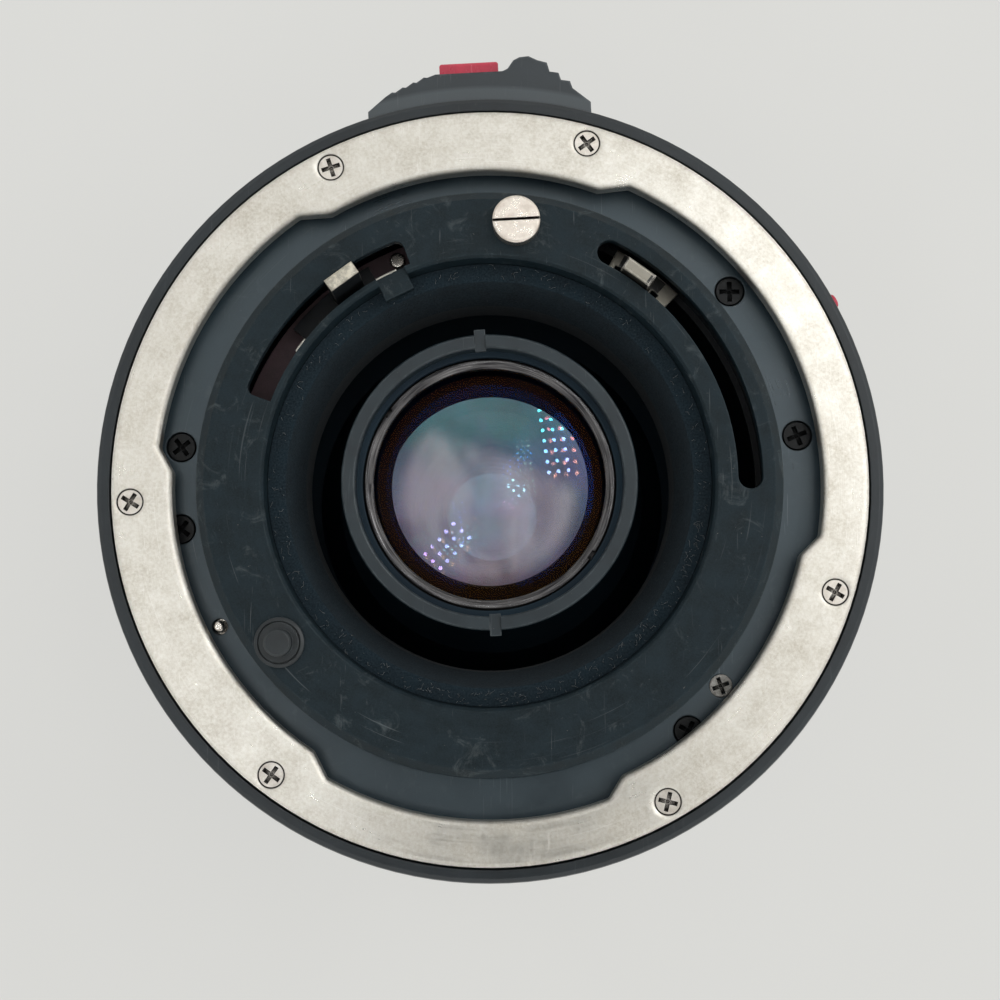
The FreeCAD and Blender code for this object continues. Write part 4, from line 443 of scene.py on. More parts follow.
class LENS_OT_bayonet(bpy.types.Operator):
    """Silver bayonet ring with its three lugs"""
    bl_idname = "lens.bayonet"
    bl_label = "Bayonet ring"

    def execute(self, context):
        # Satin nickel on turned brass: bright and slightly warm, wipe marks, dull stains, painted shade with
        # dirt at the screws, painted highlights on the rolled edges and the lathe ridges.
        put(["bayonet_ring"], finish("satin_nickel_on_turned_brass", {
            "base": "#E4DFD4", "stain": "#CCC5B7", "stain_mm": 3.0, "grain": "#FBF9F3", "grain_mm": 0.24,
            "grain_share": 0.6, "grain_height": 0.7, "rough": (0.26, 0.42), "metallic": 1.0, "lathe": 0.12,
            "lathe_height": 0.5, "scratches": ((84, 0.08, 3.0), (62, 0.1, 3.0), (-30, 0.1, 2.5)),
            "scratch": "#FDFBF6", "scratch_share": 0.4, "scratch_amount": 0.08, "arcs": 0.12, "wear_and_highlight": 0.6,
            "wear_and_highlight_mm": 0.7, "wear_and_highlight_colour": "#FAF7F0", "crevice_shade_and_soil": 0.95, "crevice_shade_and_soil_mm": 0.5, "crevice_shade_and_soil_colour": "#1D1814",
            "bump": 0.5, "grime_and_shade": (SCREW_RING, SCREW_ANGLES, SCREW_HEAD, SCREW_HEAD + 0.04),
            "turned_shine": 0.5}))
        return {"FINISHED"}


class LENS_OT_bright_screws(bpy.types.Operator):
    """Plated cross screws of the bayonet ring and the small steel screw"""
    bl_idname = "lens.bright_screws"
    bl_label = "Bright screws"

    def execute(self, context):
        # Painted shade and old grease darken the joint round each head, as on the ring.
        put(["bayonet_screws"], bright_steel("nickel_plated_screw", {
            "grime_and_shade": (SCREW_RING, SCREW_ANGLES, SCREW_HEAD - 0.04, SCREW_HEAD)}))
        put(["core_steel_screw"], bright_steel("dulled_steel_screw", {
            "base": "#8C8A86", "stain": "#5F5D5A", "crevice_shade_and_soil_colour": "#050505"}))
        return {"FINISHED"}


class LENS_OT_rim(bpy.types.Operator):
    """Black rim of the locking ring"""
    bl_idname = "lens.rim"
    bl_label = "Black rim"

    def execute(self, context):
        put(["lock_collar"], black_anodised(
            "semi_gloss_black_anodised_rim", "#12181C", "#1A2227", (0.3, 0.42),
            {"scratch_share": 0.18, "shine": 0.5}))
        return {"FINISHED"}


class LENS_OT_red_parts(bpy.types.Operator):
    """Red index dot and red button"""
    bl_idname = "lens.red_parts"
    bl_label = "Red dot and button"

    def execute(self, context):
        # Moulded red acrylic: glossy, even, a little paler on its edges, dirt in its pores.
        red = tuple(context.scene.lens_finish.red) + (1.0,)
        material = finish("glossy_red_moulded_acrylic", {
            "base": red, "stain": "#B32A42", "stain_mm": 1.6, "grain": "#CE4258", "grain_mm": 0.12,
            "rough": (0.2, 0.34), "scratches": ((70, 0.08, 2.0),), "scratch": "#E8929C", "scratch_share": 0.3,
            "wear_and_highlight": 0.35, "wear_and_highlight_mm": 0.14, "wear_and_highlight_colour": "#DD5A6C", "bump": 0.2,
            "sockets": {"Coat Weight": 0.2, "Coat Roughness": 0.15}})
        put(["index_dot", "lock_button"], material)
        return {"FINISHED"}


class LENS_OT_core(bpy.types.Operator):
    """Register flange in the recess, and the thrust ring under the rim"""
    bl_idname = "lens.core"
    bl_label = "Register flange"

    def execute(self, context):
        # Painted shade together with dirt darkens its hollows and joints.
        put(["mount_core", "thrust_ring"], black_anodised(
            "satin_black_anodised_flange", "#1B2B34", "#293A43", (0.28, 0.42),
            {"scratch": "#8C9296", "arcs": 0.12, "scratch_share": 0.3, "scratch_amount": 0.03, "crevice_shade_and_soil": 0.8,
             "smudge": 0.2, "shine": 1.0, "sockets": {"Specular Tint": (0.82, 0.93, 1.0, 1.0)}}))
        return {"FINISHED"}


class LENS_OT_black_screws(bpy.types.Operator):
    """Blackened cross screws"""
    bl_idname = "lens.black_screws"
    bl_label = "Black screws"

    def execute(self, context):
        # Chemically blackened steel: near black with a little shine, painted shade with dirt in the recess,
        # rubbed rims.
        put(["core_screws", "barrel_screws", "zoom_key_screws", "aperture_key_screw"],
            finish("blackened_steel_screw", {
                "base": "#0C0E10", "stain": "#16181A", "stain_mm": 0.8, "grain": "#26292B", "grain_mm": 0.08,
                "rough": (0.28, 0.42), "wear_and_highlight": 0.6, "wear_and_highlight_mm": 0.1, "wear_and_highlight_colour": "#5A5F62", "crevice_shade_and_soil": 1.0,
                "crevice_shade_and_soil_mm": 0.7, "crevice_shade_and_soil_colour": "#020304", "bump": 0.3, "shine": 0.25}))
        return {"FINISHED"}


class LENS_OT_cover(bpy.types.Operator):
    """Cover plate with its two curved slots, and the signal pin"""
    bl_idname = "lens.cover"
    bl_label = "Cover plate"

    def execute(self, context):
        # Baked matt black paint on pressed aluminium: blue-black, fine texture, grey scuffs, rubbed rim.
        put(["rear_plate"], finish("baked_matt_black_paint", {
            "base": "#08151A", "stain": "#132128", "stain_mm": 2.2, "grain": "#26343A", "grain_mm": 0.12,
            "grain_share": 0.35, "grain_height": 0.5, "rough": (0.42, 0.55), "lathe": 0.35,
            "lathe_height": 0.2,
            "scratches": ((24, 0.1, 2.2), (-48, 0.12, 2.6), (88, 0.1, 2.4)), "scratch": "#83898C",
            "scratch_share": 0.2, "scratch_amount": 0.0, "arcs": 0.14, "wear_and_highlight": 0.55, "wear_and_highlight_mm": 0.22,
            "wear_and_highlight_colour": "#37444A", "smudge": 0.34, "dust": 0.5, "bump": 0.35, "shine": 0.2}))
        put(["signal_pin"], finish("moulded_black_acetal", {
            "base": "#14191C", "stain": "#1E2427", "stain_mm": 1.0, "grain": "#343B3E", "grain_mm": 0.07,
            "rough": (0.3, 0.42), "wear_and_highlight": 0.6, "wear_and_highlight_mm": 0.12, "wear_and_highlight_colour": "#4F585B", "bump": 0.25,
            "shine": 0.45}))
        return {"FINISHED"}


class LENS_OT_bright_pins(bpy.types.Operator):
    """Locating stud, lock pin, rivet and the levers"""
    bl_idname = "lens.bright_pins"
    bl_label = "Stud, pin and levers"

    def execute(self, context):
        put(["locating_stud"], bright_steel("turned_steel_stud", {
            "base": "#F8EFE4", "stain": "#D8CBBE", "rough": (0.22, 0.36), "wear_and_highlight_mm": 0.14,
            "scratch": "#B5A89C"}))
        put(["lock_pin", "carrier_rivet"], bright_steel("turned_stainless_pin", {
            "crevice_shade_and_soil": 0.0, "rough": (0.2, 0.3)}))
        # Blackened steel lever whose end a camera's ring has rubbed bright; the dark of its sides is partly
        # painted shade.
        lever = {
            "base": "#0D1013", "stain": "#171A1D", "stain_mm": 1.2, "grain": "#2A2C2E", "grain_mm": 0.08,
            "rough": (0.28, 0.44), "scratches": ((0, 0.08, 2.0), (64, 0.1, 2.0)), "scratch": "#8E8B84",
            "scratch_share": 0.4, "wear_and_highlight": 0.5, "wear_and_highlight_mm": 0.1, "wear_and_highlight_colour": "#8C8880", "bump": 0.3,
            "shine": 0.15}
        put(["stop_down_lever"], finish("lever_blackened_and_shaded_below_its_worn_end", dict(
            lever, rubbed_and_highlit=rubbed_above(93.35, "#D8D2C2"))))
        # White zinc plated ring: bright where it lies free, blackened with old grease elsewhere.
        put(["stop_down_ring"], finish("zinc_plated_ring_under_old_grease", dict(
            lever, rubbed_and_highlit=rubbed_sectors([(129.6, 16.2)], "#E8E4DA"))))
        # Pressed steel lever: dark between its tip and its two feet, a painted shade, and rubbed bright on
        # the tip and feet.
        put(["signal_lever"], finish("pressed_steel_lever_shaded_between_tip_and_feet", {
            "base": "#100F0F", "stain": "#1C1B1A", "stain_mm": 0.5, "grain": "#34322F", "grain_mm": 0.08,
            "rough": (0.26, 0.42), "scratches": ((0, 0.08, 1.6),), "scratch_share": 0.4,
            "rubbed_and_highlit": rubbed_sectors([(60.9, 1.3), (54.6, 3.0), (47.0, 1.8)], "#8E8A80"), "wear_and_highlight": 1.0,
            "wear_and_highlight_mm": 0.2, "wear_and_highlight_colour": "#EDE8DC", "bump": 0.35}))
        return {"FINISHED"}


class LENS_OT_carrier(bpy.types.Operator):
    """Brown laminate carrier under the levers"""
    bl_idname = "lens.carrier"
    bl_label = "Lever carrier"

    def execute(self, context):
        # Paper laminate: dark reddish brown, dull, faint fibre pattern.
        put(["lever_carrier"], finish("brown_paper_laminate", {
            "base": "#4C3B3F", "stain": "#58454A", "stain_mm": 1.6, "grain": "#6A565A", "grain_mm": 0.1,
            "rough": (0.45, 0.6), "scratches": ((10, 0.1, 2.0),), "scratch": "#7C625A", "scratch_share": 0.3,
            "wear_and_highlight": 0.3, "wear_and_highlight_colour": "#6A5148", "bump": 0.4, "shine": 0.3}))
        return {"FINISHED"}


class LENS_OT_baffle(bpy.types.Operator):
    """Light baffle with its flocked face and the lint caught in it"""
    bl_idname = "lens.baffle"
    bl_label = "Flocked baffle"

    def execute(self, context):
        # Flock paper on a painted cone: dead black pile, soft, with paler fibres caught in it.
        put(["light_baffle"], finish("black_flock_on_painted_cone", {
            "base": "#0D181F", "stain": "#15232B", "stain_mm": 1.8, "grain": "#303C43", "grain_mm": 0.15,
            "grain_share": 0.8, "grain_height": 1.2, "rough": (0.75, 0.95), "dust": 0.9, "bump": 0.9,
            "shine": 0.12, "sockets": {"Sheen Weight": 0.04}}))
        settings = context.scene.lens_finish
        # Cotton fibres: pale grey, dull, half sunk in the pile.
        lint = finish("pale_cotton_lint", {
            "base": "#8A9093", "stain": "#5D6265", "stain_mm": 0.6, "grain": "#A9AEB0", "grain_mm": 0.05,
            "rough": (0.7, 0.9), "bump": 0.2})
        chance = random.Random(7)
        curve = bpy.data.curves.new("lint", "CURVE")
        curve.dimensions = "3D"
        curve.bevel_depth = 0.015 * MM
        curve.bevel_resolution = 1
        inset = 0.05
        for _ in range(settings.lint_count):
            # Half of the fibres lie anywhere and half gather along the lower edge.
            angle = chance.choice((chance.uniform(0, 360), chance.gauss(-70, 55)))
            start = polar(chance.uniform(FLOCK_INNER + inset, FLOCK_OUTER - inset), angle, FLOCK_LEVEL)
            # Each lies roughly along the ring or across it, and bends a little at its points.
            heading = math.radians(angle + chance.choice((0, 90)) + chance.uniform(-50, 50))
            length = settings.lint_length * chance.uniform(0.06, 1.0) ** 2
            spline = curve.splines.new("POLY")
            spline.points.add(3)
            for i, point in enumerate(spline.points):
                bend = heading + chance.uniform(-0.12, 0.12) * i
                at = start + Vector((math.cos(bend), math.sin(bend), 0)) * length * i / 3
                reach = math.hypot(at.x, at.y)
                limit = min(max(reach, FLOCK_INNER * MM), FLOCK_OUTER * MM) / reach
                point.co = (at.x * limit, at.y * limit, at.z + chance.uniform(0.0, 0.05) * MM, 1)
                point.radius = chance.uniform(0.5, 1.4)
        thing = hung("lint", curve)
        curve.materials.append(lint)
        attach(thing, "barrel")
        return {"FINISHED"}


class LENS_OT_tail(bpy.types.Operator):
    """Tail tube, its slotted end ring and the thin retaining ring"""
    bl_idname = "lens.tail"
    bl_label = "Tail tube"

    def execute(self, context):
        put(["tail_ring"], black_anodised(
            "worn_black_anodised_ring", "#162026", "#202C32", (0.3, 0.42),
            {"wear_and_highlight": 0.8, "wear_and_highlight_colour": "#5B6468", "lathe": 0.07, "stain_mm": 3.0, "shine": 0.45}))
        # Bare turned aluminium dulled by years: dark grey, sharp lathe ridges with painted highlights,
        # painted shade with dirt in the hollows.
        put(["rear_retaining_ring"], finish("bare_turned_aluminium_ring", {
            "base": "#242428", "stain": "#18181B", "stain_mm": 2.0, "grain": "#9C9A9A", "grain_mm": 0.08,
            "grain_share": 0.1, "rough": (0.16, 0.28), "metallic": 1.0, "lathe": 0.12, "lathe_height": 1.0,
            "lathe_highlight": 0.55, "wear_and_highlight": 0.6, "wear_and_highlight_mm": 0.1, "wear_and_highlight_colour": "#A9A9AE", "crevice_shade_and_soil": 0.8,
            "bump": 0.4}))
        # Dead black lacquer between the lenses: deep, dull, nothing to catch the light.
        put(["rear_spacer", "iris_housing", "iris_drive_ring"], finish("dead_black_lacquered_spacer", {
            "base": "#040308", "stain": "#05040A", "stain_mm": 2.0, "grain": "#06060B", "grain_mm": 0.3,
            "rough": (0.8, 0.95), "bump": 0.0, "shine": 0.0}))
        put(["rear_carriage"], black_anodised(
            "dull_blue_black_painted_tube", "#172530", "#20303B", (0.5, 0.7),
            {"scratches": (), "grain": "#1C2A33", "wear_and_highlight": 0.3, "wear_and_highlight_colour": "#2C373E", "dust": 0.25,
             "shine": 0.16}))
        return {"FINISHED"}


class LENS_OT_glass(bpy.types.Operator):
    """Coated glass elements"""
    bl_idname = "lens.glass"
    bl_label = "Glass"

    def execute(self, context):
        film = context.scene.lens_finish.film
        # Vacuum coated optical glass: a quarter-wave film keeps the outer glass nearly clear, and a denser
        # film gives the inner ones their colours.
        # The rear glass carries a grey film in one disc: old mist and a painted reflection of the room.
        put(["rear_element"], coated_glass("bloomed_rear_glass", "#EDF3F4", (128.0, 138.0), 1.24, 6.0,
                                           ior=1.52, veil_amount=0.28))
        put(["cemented_pair"], coated_glass("teal_and_lavender_coated_glass", "#DDE6E6",
                                            (film * 1.17, film * 1.34), 1.98, 4.0))
        put(["fourth_element"], coated_glass("lavender_coated_glass", "#E4E0EC",
                                             (film * 1.07, film * 1.13), 1.95, 7.0, haze=0.04))
        put(["front_element", "second_element"], coated_glass("bloomed_front_glass", "#E9E9E6",
                                                              (film * 0.42, film * 0.5), 1.38, 9.0))
        return {"FINISHED"}


class LENS_OT_block(bpy.types.Operator):
    """Serrated grip block"""
    bl_idname = "lens.block"
    bl_label = "Grip block"

    def execute(self, context):
        # A lighter, partly metallic band round the block's ledge is a painted highlight.
        put(["grip_block"], black_anodised(
            "black_anodised_milled_block", "#1C2429", "#273036", (0.34, 0.5),
            {"lathe": 0.0, "scratch": "#7C8286", "wear_and_highlight": 0.9, "wear_and_highlight_mm": 0.24, "wear_and_highlight_colour": "#6C7377",
             "rubbed_and_highlit": highlight_band(33.6, 34.8, 0.22, "#8A9296"), "shine": 0.65}))
        return {"FINISHED"}


class LENS_OT_rings(bpy.types.Operator):
    """Aperture ring, fixed band, zoom and focus rings, front rim"""
    bl_idname = "lens.rings"
    bl_label = "Barrel rings"

    def execute(self, context):
        put(["aperture_ring", "rear_barrel", "front_barrel"], black_anodised(
            "black_anodised_ring", "#15181B", "#1C2023", (0.3, 0.44)))
        put(["zoom_ring", "focus_ring"], black_anodised("black_anodised_turned_ring", "#131619", "#1A1D20",
                                                        (0.3, 0.42)))
        put(["front_cell", "front_retaining_ring", "focus_key_ring", "front_carriage", "signal_sleeve"],
            black_anodised("black_anodised_front_cell", "#14171A", "#1B1E21", (0.32, 0.46)))
        return {"FINISHED"}


class LENS_OT_grips(bpy.types.Operator):
    """Ribbed rubber grips"""
    bl_idname = "lens.grips"
    bl_label = "Rubber grips"

    def execute(self, context):
        # Moulded natural rubber: matt, slight grey bloom on the ribs, fine pitted skin, painted shade with
        # dirt between the ribs.
        put(["zoom_grip", "focus_grip"], finish("moulded_black_rubber", {
            "base": "#15171A", "stain": "#1E2023", "stain_mm": 8.0, "grain": "#303336", "grain_mm": 0.14,
            "grain_share": 0.4, "grain_height": 0.8, "rough": (0.6, 0.8), "dust": 0.6, "wear_and_highlight": 0.5,
            "wear_and_highlight_mm": 0.3, "wear_and_highlight_colour": "#3A3D40", "crevice_shade_and_soil": 0.5, "crevice_shade_and_soil_colour": "#090A0B", "bump": 0.6,
            "shine": 0.35}))
        return {"FINISHED"}


class LENS_OT_inner_tubes(bpy.types.Operator):
    """Inner sleeves, cam barrel and cam pins"""
    bl_idname = "lens.inner_tubes"
    bl_label = "Inner tubes"

    def execute(self, context):
        put(["main_sleeve", "cam_barrel"], black_anodised("dull_black_cam_tube", "#2C353A", "#353E43",
                                                          (0.4, 0.55)))
        # Turned brass: yellow, bright, fine lathe rings, brown where the grease has dried.
        put(["front_cam_pins", "rear_cam_pins"], finish("turned_brass_pin", {
            "base": "#C9A766", "stain": "#9A7A42", "stain_mm": 1.2, "grain": "#DFC48A", "grain_mm": 0.08,
            "rough": (0.22, 0.36), "metallic": 1.0, "wear_and_highlight": 0.4, "wear_and_highlight_mm": 0.1, "wear_and_highlight_colour": "#E8D29A",
            "bump": 0.3}))
        return {"FINISHED"}


class LENS_OT_springs(bpy.types.Operator):
    """Springs and click ball"""
    bl_idname = "lens.springs"
    bl_label = "Springs"

    def execute(self, context):
        # Drawn music wire: smooth and greyish, with long draw marks under a film of oil.
        put(["lock_pin_spring", "click_spring", "stop_down_spring", "lock_button_spring", "click_ball"],
            finish("drawn_spring_wire", {
                "base": "#A5A7AB", "stain": "#7C7B79", "stain_mm": 0.8, "grain": "#C6C8CC", "grain_mm": 0.05,
                "rough": (0.2, 0.34), "metallic": 1.0, "scratches": ((0, 0.05, 1.5),), "bump": 0.3}))
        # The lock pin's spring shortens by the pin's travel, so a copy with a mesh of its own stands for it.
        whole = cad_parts["lock_pin_spring"]
        coil = hung("lock_pin_spring_coil", whole.data.copy())
        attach(coil, "barrel")
        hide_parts("lock_pin_spring")
        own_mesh(coil)
        return {"FINISHED"}


class LENS_OT_iris(bpy.types.Operator):
    """Iris blades"""
    bl_idname = "lens.iris"
    bl_label = "Iris blades"

    def execute(self, context):
        # Blued spring steel leaf: dark and smooth, with rub arcs from its neighbours.
        put(["iris_blade_%d" % i for i in range(1, 6)], finish("blued_steel_leaf", {
            "base": "#1D2026", "stain": "#2A2C31", "stain_mm": 3.0, "grain": "#3D4046", "grain_mm": 0.08,
            "rough": (0.3, 0.44), "metallic": 0.8, "arcs": 0.12, "scratch": "#6C6E74",
            "scratch_share": 0.35, "wear_and_highlight": 0.4, "wear_and_highlight_colour": "#8A8C90", "bump": 0.25}))
        return {"FINISHED"}


def number_mesh(name, text, height_mm):
    """A flat mesh of the text, centred on the origin, in the XY plane."""
    curve = bpy.data.curves.new(name + "_curve", "FONT")
    curve.body = text
    curve.size = height_mm * MM
    curve.align_x = "CENTER"
    curve.align_y = "CENTER"
    curve.resolution_u = 3
    curve.fill_mode = "FRONT"
    helper = hung(name + "_helper", curve)
    bpy.context.view_layer.update()
    mesh = bpy.data.meshes.new_from_object(helper)
    bpy.data.objects.remove(helper)
    bpy.data.curves.remove(curve)
    return mesh


def wrapped(name, mesh, row, degrees, material, body, lift):
    """Bends a flat mesh round the axis at its row's radius and level and hangs it on a body."""
    radius_mm, z_mm = row
    work = bmesh.new()
    work.from_mesh(mesh)
    for _ in range(2):
        long_edges = [e for e in work.edges if e.calc_length() > 0.5 * MM]
        bmesh.ops.subdivide_edges(work, edges=long_edges, cuts=1)
    bmesh.ops.triangulate(work, faces=work.faces)
    work.to_mesh(mesh)
    work.free()
    radius = radius_mm * MM + lift
    for vertex in mesh.vertices:
        turn = math.radians(degrees) + vertex.co.x / radius
        up = vertex.co.y
        vertex.co = (radius * math.cos(turn), radius * math.sin(turn), z_mm * MM + up)
    mesh.materials.append(material)
    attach(hung(name, mesh), body)


def bar_mesh(name, width_mm, height_mm):
    """A flat upright bar, centred on the origin, in the XY plane."""
    mesh = bpy.data.meshes.new(name)
    w = width_mm * MM / 2
    h = height_mm * MM / 2
    mesh.from_pydata([(-w, -h, 0), (w, -h, 0), (w, h, 0), (-w, h, 0)], [], [(0, 1, 2, 3)])
    return mesh


class LENS_OT_prints(bpy.types.Operator):
    """Plain numbers and index lines on the barrel"""
    bl_idname = "lens.prints"
    bl_label = "Numbers and index lines"

    def execute(self, context):
        lift = context.scene.lens_finish.print_height
        # Screen printed enamel: slightly raised, with pinholes.
        white, orange = (finish("screen_printed_%s_enamel" % name, {
            "base": base, "stain": stain, "stain_mm": 0.8, "grain": grain, "grain_mm": 0.07,
            "rough": (0.4, 0.55), "bump": 0.2}) for name, base, stain, grain in (
                ("white", "#D9D7D0", "#C3C0B8", "#9B988F"), ("orange", "#D9822B", "#BF6E20", "#8C5A24")))
        # Each number sits where its ring's turn brings it to the index.
        stops = ("22", "16", "11", "8", "5.6", "4", "3.5")
        for i, text in enumerate(stops):
            angle = PRINT_SIDE + APERTURE_REACH * i / 6
            wrapped("f_number_%d" % i, number_mesh("f", text, 2.3), APERTURE_ROW, angle, white,
                    "aperture", lift)
        focals = (("35", 0.0), ("40", 0.17), ("50", 0.5), ("60", 0.78), ("70", 1.0))
        for i, (text, share) in enumerate(focals):
            angle = PRINT_SIDE - ZOOM_REACH * share
            wrapped("zoom_number_%d" % i, number_mesh("z", text, 2.2), ZOOM_ROW, angle, white, "zoom", lift)
        metres = (("10", 0.06), ("5", 0.14), ("3", 0.26), ("2", 0.42), ("1.5", 0.62), ("1.2", 0.8),
                  ("1", 1.0))
        for i, (text, share) in enumerate(metres):
            angle = PRINT_SIDE - FOCUS_REACH * share
            wrapped("metre_number_%d" % i, number_mesh("m", text, 1.9), FOCUS_ROW, angle, orange,
                    "focus", lift)
        wrapped("index_line", bar_mesh("index", 0.5, 6.4), INDEX_ROW, PRINT_SIDE, white, "barrel", lift)
        for i, offset in enumerate((-12.0, -8.0, -5.0, 5.0, 8.0, 12.0)):
            wrapped("depth_line_%d" % i, bar_mesh("depth", 0.25, 2.4), DEPTH_ROW, PRINT_SIDE + offset, white,
                    "barrel", lift)
        return {"FINISHED"}


class LENS_OT_stage(bpy.types.Operator):
    """Floor, lights, world and camera"""
    bl_idname = "lens.stage"
    bl_label = "Stage"

    def execute(self, context):
        scene = context.scene
        settings = scene.lens_stage
        self.floor(scene, settings)
        self.world(scene, settings)
        self.lamps(scene, settings)
        self.camera_shade(scene, settings)
        self.lamp_dots(scene)
        self.camera(scene, settings)
        return {"FINISHED"}

    def floor(self, scene, settings):
        half = settings.floor_size / 2
        low = BOX_AFTER_LOAD[0][2]
        mesh = bpy.data.meshes.new("floor")
        mesh.from_pydata([(-half, -half, low), (half, -half, low), (half, half, low), (-half, half, low)],
                         [], [(0, 1, 2, 3)])
        floor = hung("floor", mesh)
        # Pale card: matt, faintly mottled, and lit of itself for the eye so that the background stays even.
        material, tree = new_material("pale_matt_card")
        coord = add(tree, "TexCoord", out="Object")
        mottle = noise(tree, coord, 45, 3.0)
        colour = mixed(tree, mottle, linear("#DFDFDC"), linear("#DADAD7"))
        paper = add(tree, "BsdfPrincipled", {"Base Color": colour, "Roughness": 0.9,
                                             "Specular IOR Level": 0.1})
        path = add(tree, "LightPath", out="Is Camera Ray").node
        mirrored = add(tree, "Math", {0: path.outputs["Is Glossy Ray"],
                                      1: path.outputs["Is Transmission Ray"]}, operation="MAXIMUM")
        seen = add(tree, "Math", {0: path.outputs["Is Camera Ray"], 1: mirrored}, operation="MAXIMUM")
        open_sky = add(tree, "AmbientOcclusion", {"Distance": 0.06}, "AO", samples=8)
        free = add(tree, "MapRange", {0: open_sky, 1: 0.25, 2: 0.6, 4: 0.72})
        share = times(tree, seen, free)
        glow = add(tree, "Emission", {0: colour, 1: 1.0})
        add(tree, "OutputMaterial", {0: add(tree, "MixShader", {0: share, 1: paper, 2: glow})})
        floor.data.materials.append(material)

    def world(self, scene, settings):
        # An even pale room, a little brighter to the right, with soft unevenness for the glass to mirror.
        world = bpy.data.worlds.new("soft_room")
        world.use_nodes = True
        tree = world.node_tree
        tree.nodes.clear()
        way = add(tree, "TexCoord", out="Generated")
        side = add(tree, "VectorMath", {0: way, 1: (1.0, -0.8, 0.0)}, "Value", operation="DOT_PRODUCT")
        slope = add(tree, "MapRange", {0: side, 1: -0.6, 2: 0.6, 3: 0.88, 4: 1.16})
        patches = add(tree, "TexNoise", {"Vector": way, "Scale": 8.0, "Detail": 3.0, "Roughness": 0.55})
        uneven = add(tree, "MapRange", {0: patches, 1: 0.35, 2: 0.65, 3: 0.76, 4: 1.24})
        level = times(tree, slope, uneven)
        strength = times(tree, level, settings.room_light)
        light = add(tree, "Background", {0: linear("#FFFFFD"), 1: strength})
        wall = add(tree, "Background", {0: linear("#DEDEDB"), 1: 1.0})
        add(tree, "OutputWorld", {0: add(tree, "MixShader", {0: add(tree, "LightPath"), 1: light, 2: wall})})
        scene.world = world

    def lamps(self, scene, settings):
        aim = Vector((0, 0, 0.08))
        for name, place, size, power in (
                ("large_soft_lamp", Vector((0.72, 0.30, 0.9)), 0.7, settings.lamp_power),
                ("small_soft_lamp", Vector((0.27, 0.29, 0.95)), 0.26, settings.lamp_power * 0.08)):
            data = bpy.data.lights.new(name, "AREA")
            data.size = size
            data.energy = power
            lamp = hung(name, data)
            lamp.location = place
            lamp.rotation_euler = (aim - place).to_track_quat("-Z", "Y").to_euler()

    def camera_shade(self, scene, settings):
        # A dark card just behind the camera, for the shade that a hand-held camera throws on what faces it.
        behind = 4 * MM
        z = FACE_LEVEL + settings.distance + behind
        left, right, low, high = -0.025, 0.026, -0.140, -0.018
        mesh = bpy.data.meshes.new("camera_shade")
        corners = [(left, low, z), (right, low, z), (right, high, z), (left, high, z)]
        mesh.from_pydata(corners, [], [(0, 3, 2, 1)])
        card = hung("camera_shade", mesh)
        material, tree = new_material("dark_grey_card")
        coord = add(tree, "TexCoord", out="Object")
        mottle = noise(tree, coord, 9)
        colour = mixed(tree, mottle, linear("#1E1F20"), linear("#2A2B2C"))
        paint = add(tree, "BsdfPrincipled", {"Base Color": colour, "Roughness": 0.7})
        add(tree, "OutputMaterial", {0: paint})
        card.data.materials.append(material)
        card.visible_camera = False
        card.visible_diffuse = False
        card.visible_shadow = False
        card.visible_transmission = False

    def lamp_dots(self, scene):
        # Two boards of small round lamps high above, which only the polished and coated faces mirror.
        verts, faces = [], []
        column_step, row_step, radius, sides, height = 0.026, 0.027, 0.005, 8, 1.0
        boards = ((-0.17, -0.27, 0.12, 3, 10), (0.05, 0.14, -0.75, 3, 8))
        for left, low, turn, columns, rows in boards:
            for column in range(columns):
                for row in range(rows):
                    x, y = column * column_step, row * row_step
                    x, y = (left + x * math.cos(turn) - y * math.sin(turn),
                            low + x * math.sin(turn) + y * math.cos(turn))
                    first = len(verts)
                    for i in range(sides):
                        a = i * 2 * math.pi / sides
                        verts.append((x + radius * math.cos(a), y + radius * math.sin(a), height))
                    faces.append(tuple(range(first + sides - 1, first - 1, -1)))
        mesh = bpy.data.meshes.new("lamp_dots")
        mesh.from_pydata(verts, [], faces)
        dots = hung("lamp_dots", mesh)
        material, tree = new_material("small_round_lamps")
        coord = add(tree, "TexCoord", out="Object")
        uneven = add(tree, "TexNoise", {"Vector": coord, "Scale": 9.0})
        strength = add(tree, "MapRange", {0: uneven, 1: 0.3, 2: 0.7, 3: 10.0, 4: 22.0})
        add(tree, "OutputMaterial", {0: add(tree, "Emission", {0: linear("#F4FAFF"), 1: strength})})
        mesh.materials.append(material)
        dots.visible_camera = False
        dots.visible_diffuse = False

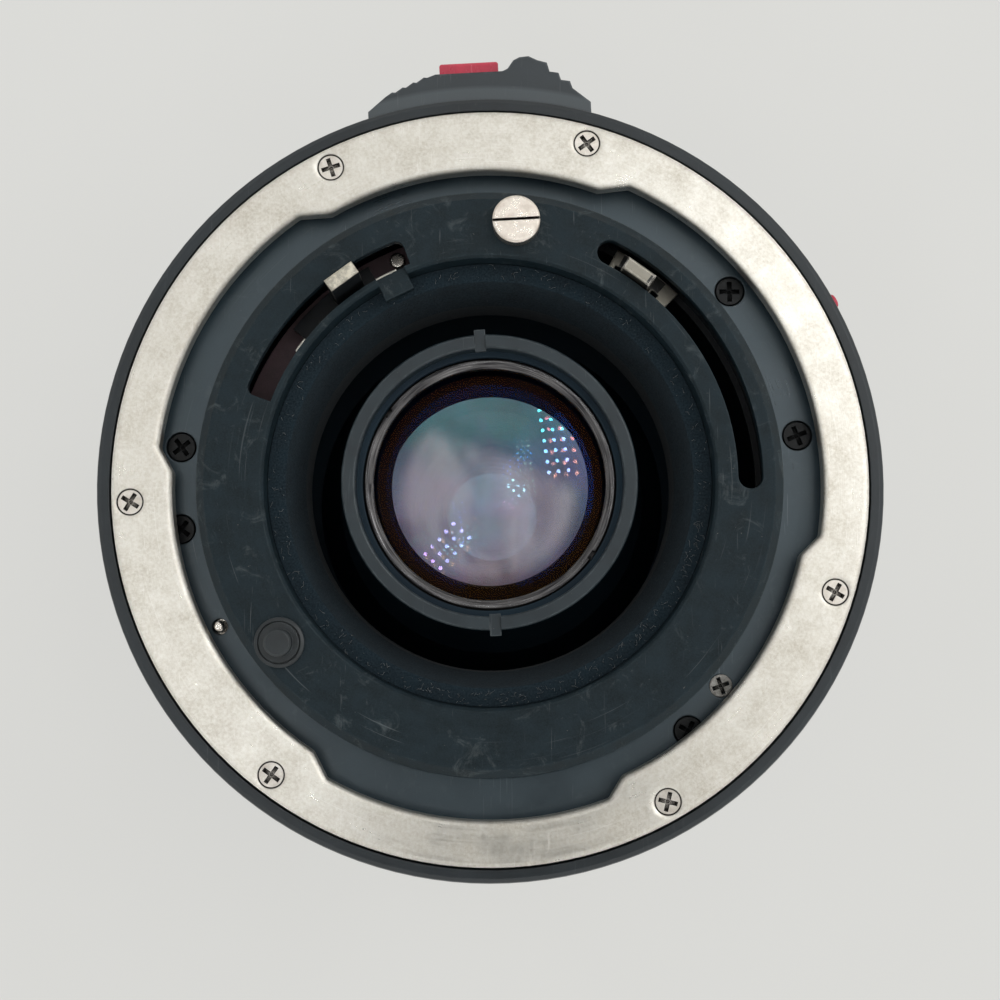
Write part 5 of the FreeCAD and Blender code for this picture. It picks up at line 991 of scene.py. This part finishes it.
    def camera(self, scene, settings):
        tilt, side = settings.tilt, settings.side
        away = Vector((math.sin(side) * math.cos(tilt), -math.sin(tilt), math.cos(tilt) * math.cos(side)))
        away.normalize()
        right = Vector((0, 1, 0)).cross(away).normalized()
        up = away.cross(right)
        data = bpy.data.cameras.new("photo_camera")
        data.sensor_width = SENSOR_WIDTH
        data.lens = SENSOR_WIDTH * settings.focal_share
        data.shift_x, data.shift_y = PICTURE_SHIFT
        data.clip_start = 0.005
        scene.camera = hung("photo_camera", data)
        scene.camera.matrix_world = Matrix(((right.x, up.x, away.x, away.x * settings.distance),
                                     (right.y, up.y, away.y, away.y * settings.distance),
                                     (right.z, up.z, away.z, FACE_LEVEL + away.z * settings.distance),
                                     (0, 0, 0, 1)))
        scene.view_settings.view_transform = "Standard"


class LENS_PT_panel(bpy.types.Panel):
    """Sidebar panel of the zoom lens"""
    bl_idname = "LENS_PT_panel"
    bl_label = "Zoom lens"
    bl_space_type = "VIEW_3D"
    bl_region_type = "UI"
    bl_category = "Zoom lens"

    def draw(self, context):
        for group in (context.scene.lens_finish, context.scene.lens_stage):
            box = self.layout.box()
            for key in group.__annotations__:
                box.prop(group, key)
        for kind in OPERATORS:
            self.layout.operator(kind.bl_idname)


OPERATORS = (
    LENS_OT_bayonet, LENS_OT_bright_screws, LENS_OT_rim, LENS_OT_red_parts, LENS_OT_core,
    LENS_OT_black_screws, LENS_OT_cover, LENS_OT_bright_pins, LENS_OT_carrier, LENS_OT_baffle,
    LENS_OT_tail, LENS_OT_glass, LENS_OT_block, LENS_OT_rings, LENS_OT_grips, LENS_OT_inner_tubes,
    LENS_OT_springs, LENS_OT_iris, LENS_OT_prints, LENS_OT_stage,
)
CLASSES = (LensFinish, LensStage) + OPERATORS + (LENS_PT_panel,)


def register():
    """Makes the settings, operators and panel known to Blender."""
    for kind in CLASSES:
        bpy.utils.register_class(kind)
    bpy.types.Scene.lens_finish = bpy.props.PointerProperty(type=LensFinish)
    bpy.types.Scene.lens_stage = bpy.props.PointerProperty(type=LensStage)


def unregister():
    """Takes them away again."""
    del bpy.types.Scene.lens_stage
    del bpy.types.Scene.lens_finish
    for kind in reversed(CLASSES):
        bpy.utils.unregister_class(kind)


def main():
    """Dresses the lens and sets its stage."""
    register()
    for kind in OPERATORS:
        group, name = kind.bl_idname.split(".")
        getattr(getattr(bpy.ops, group), name)()


if __name__ == "__main__":
    main()
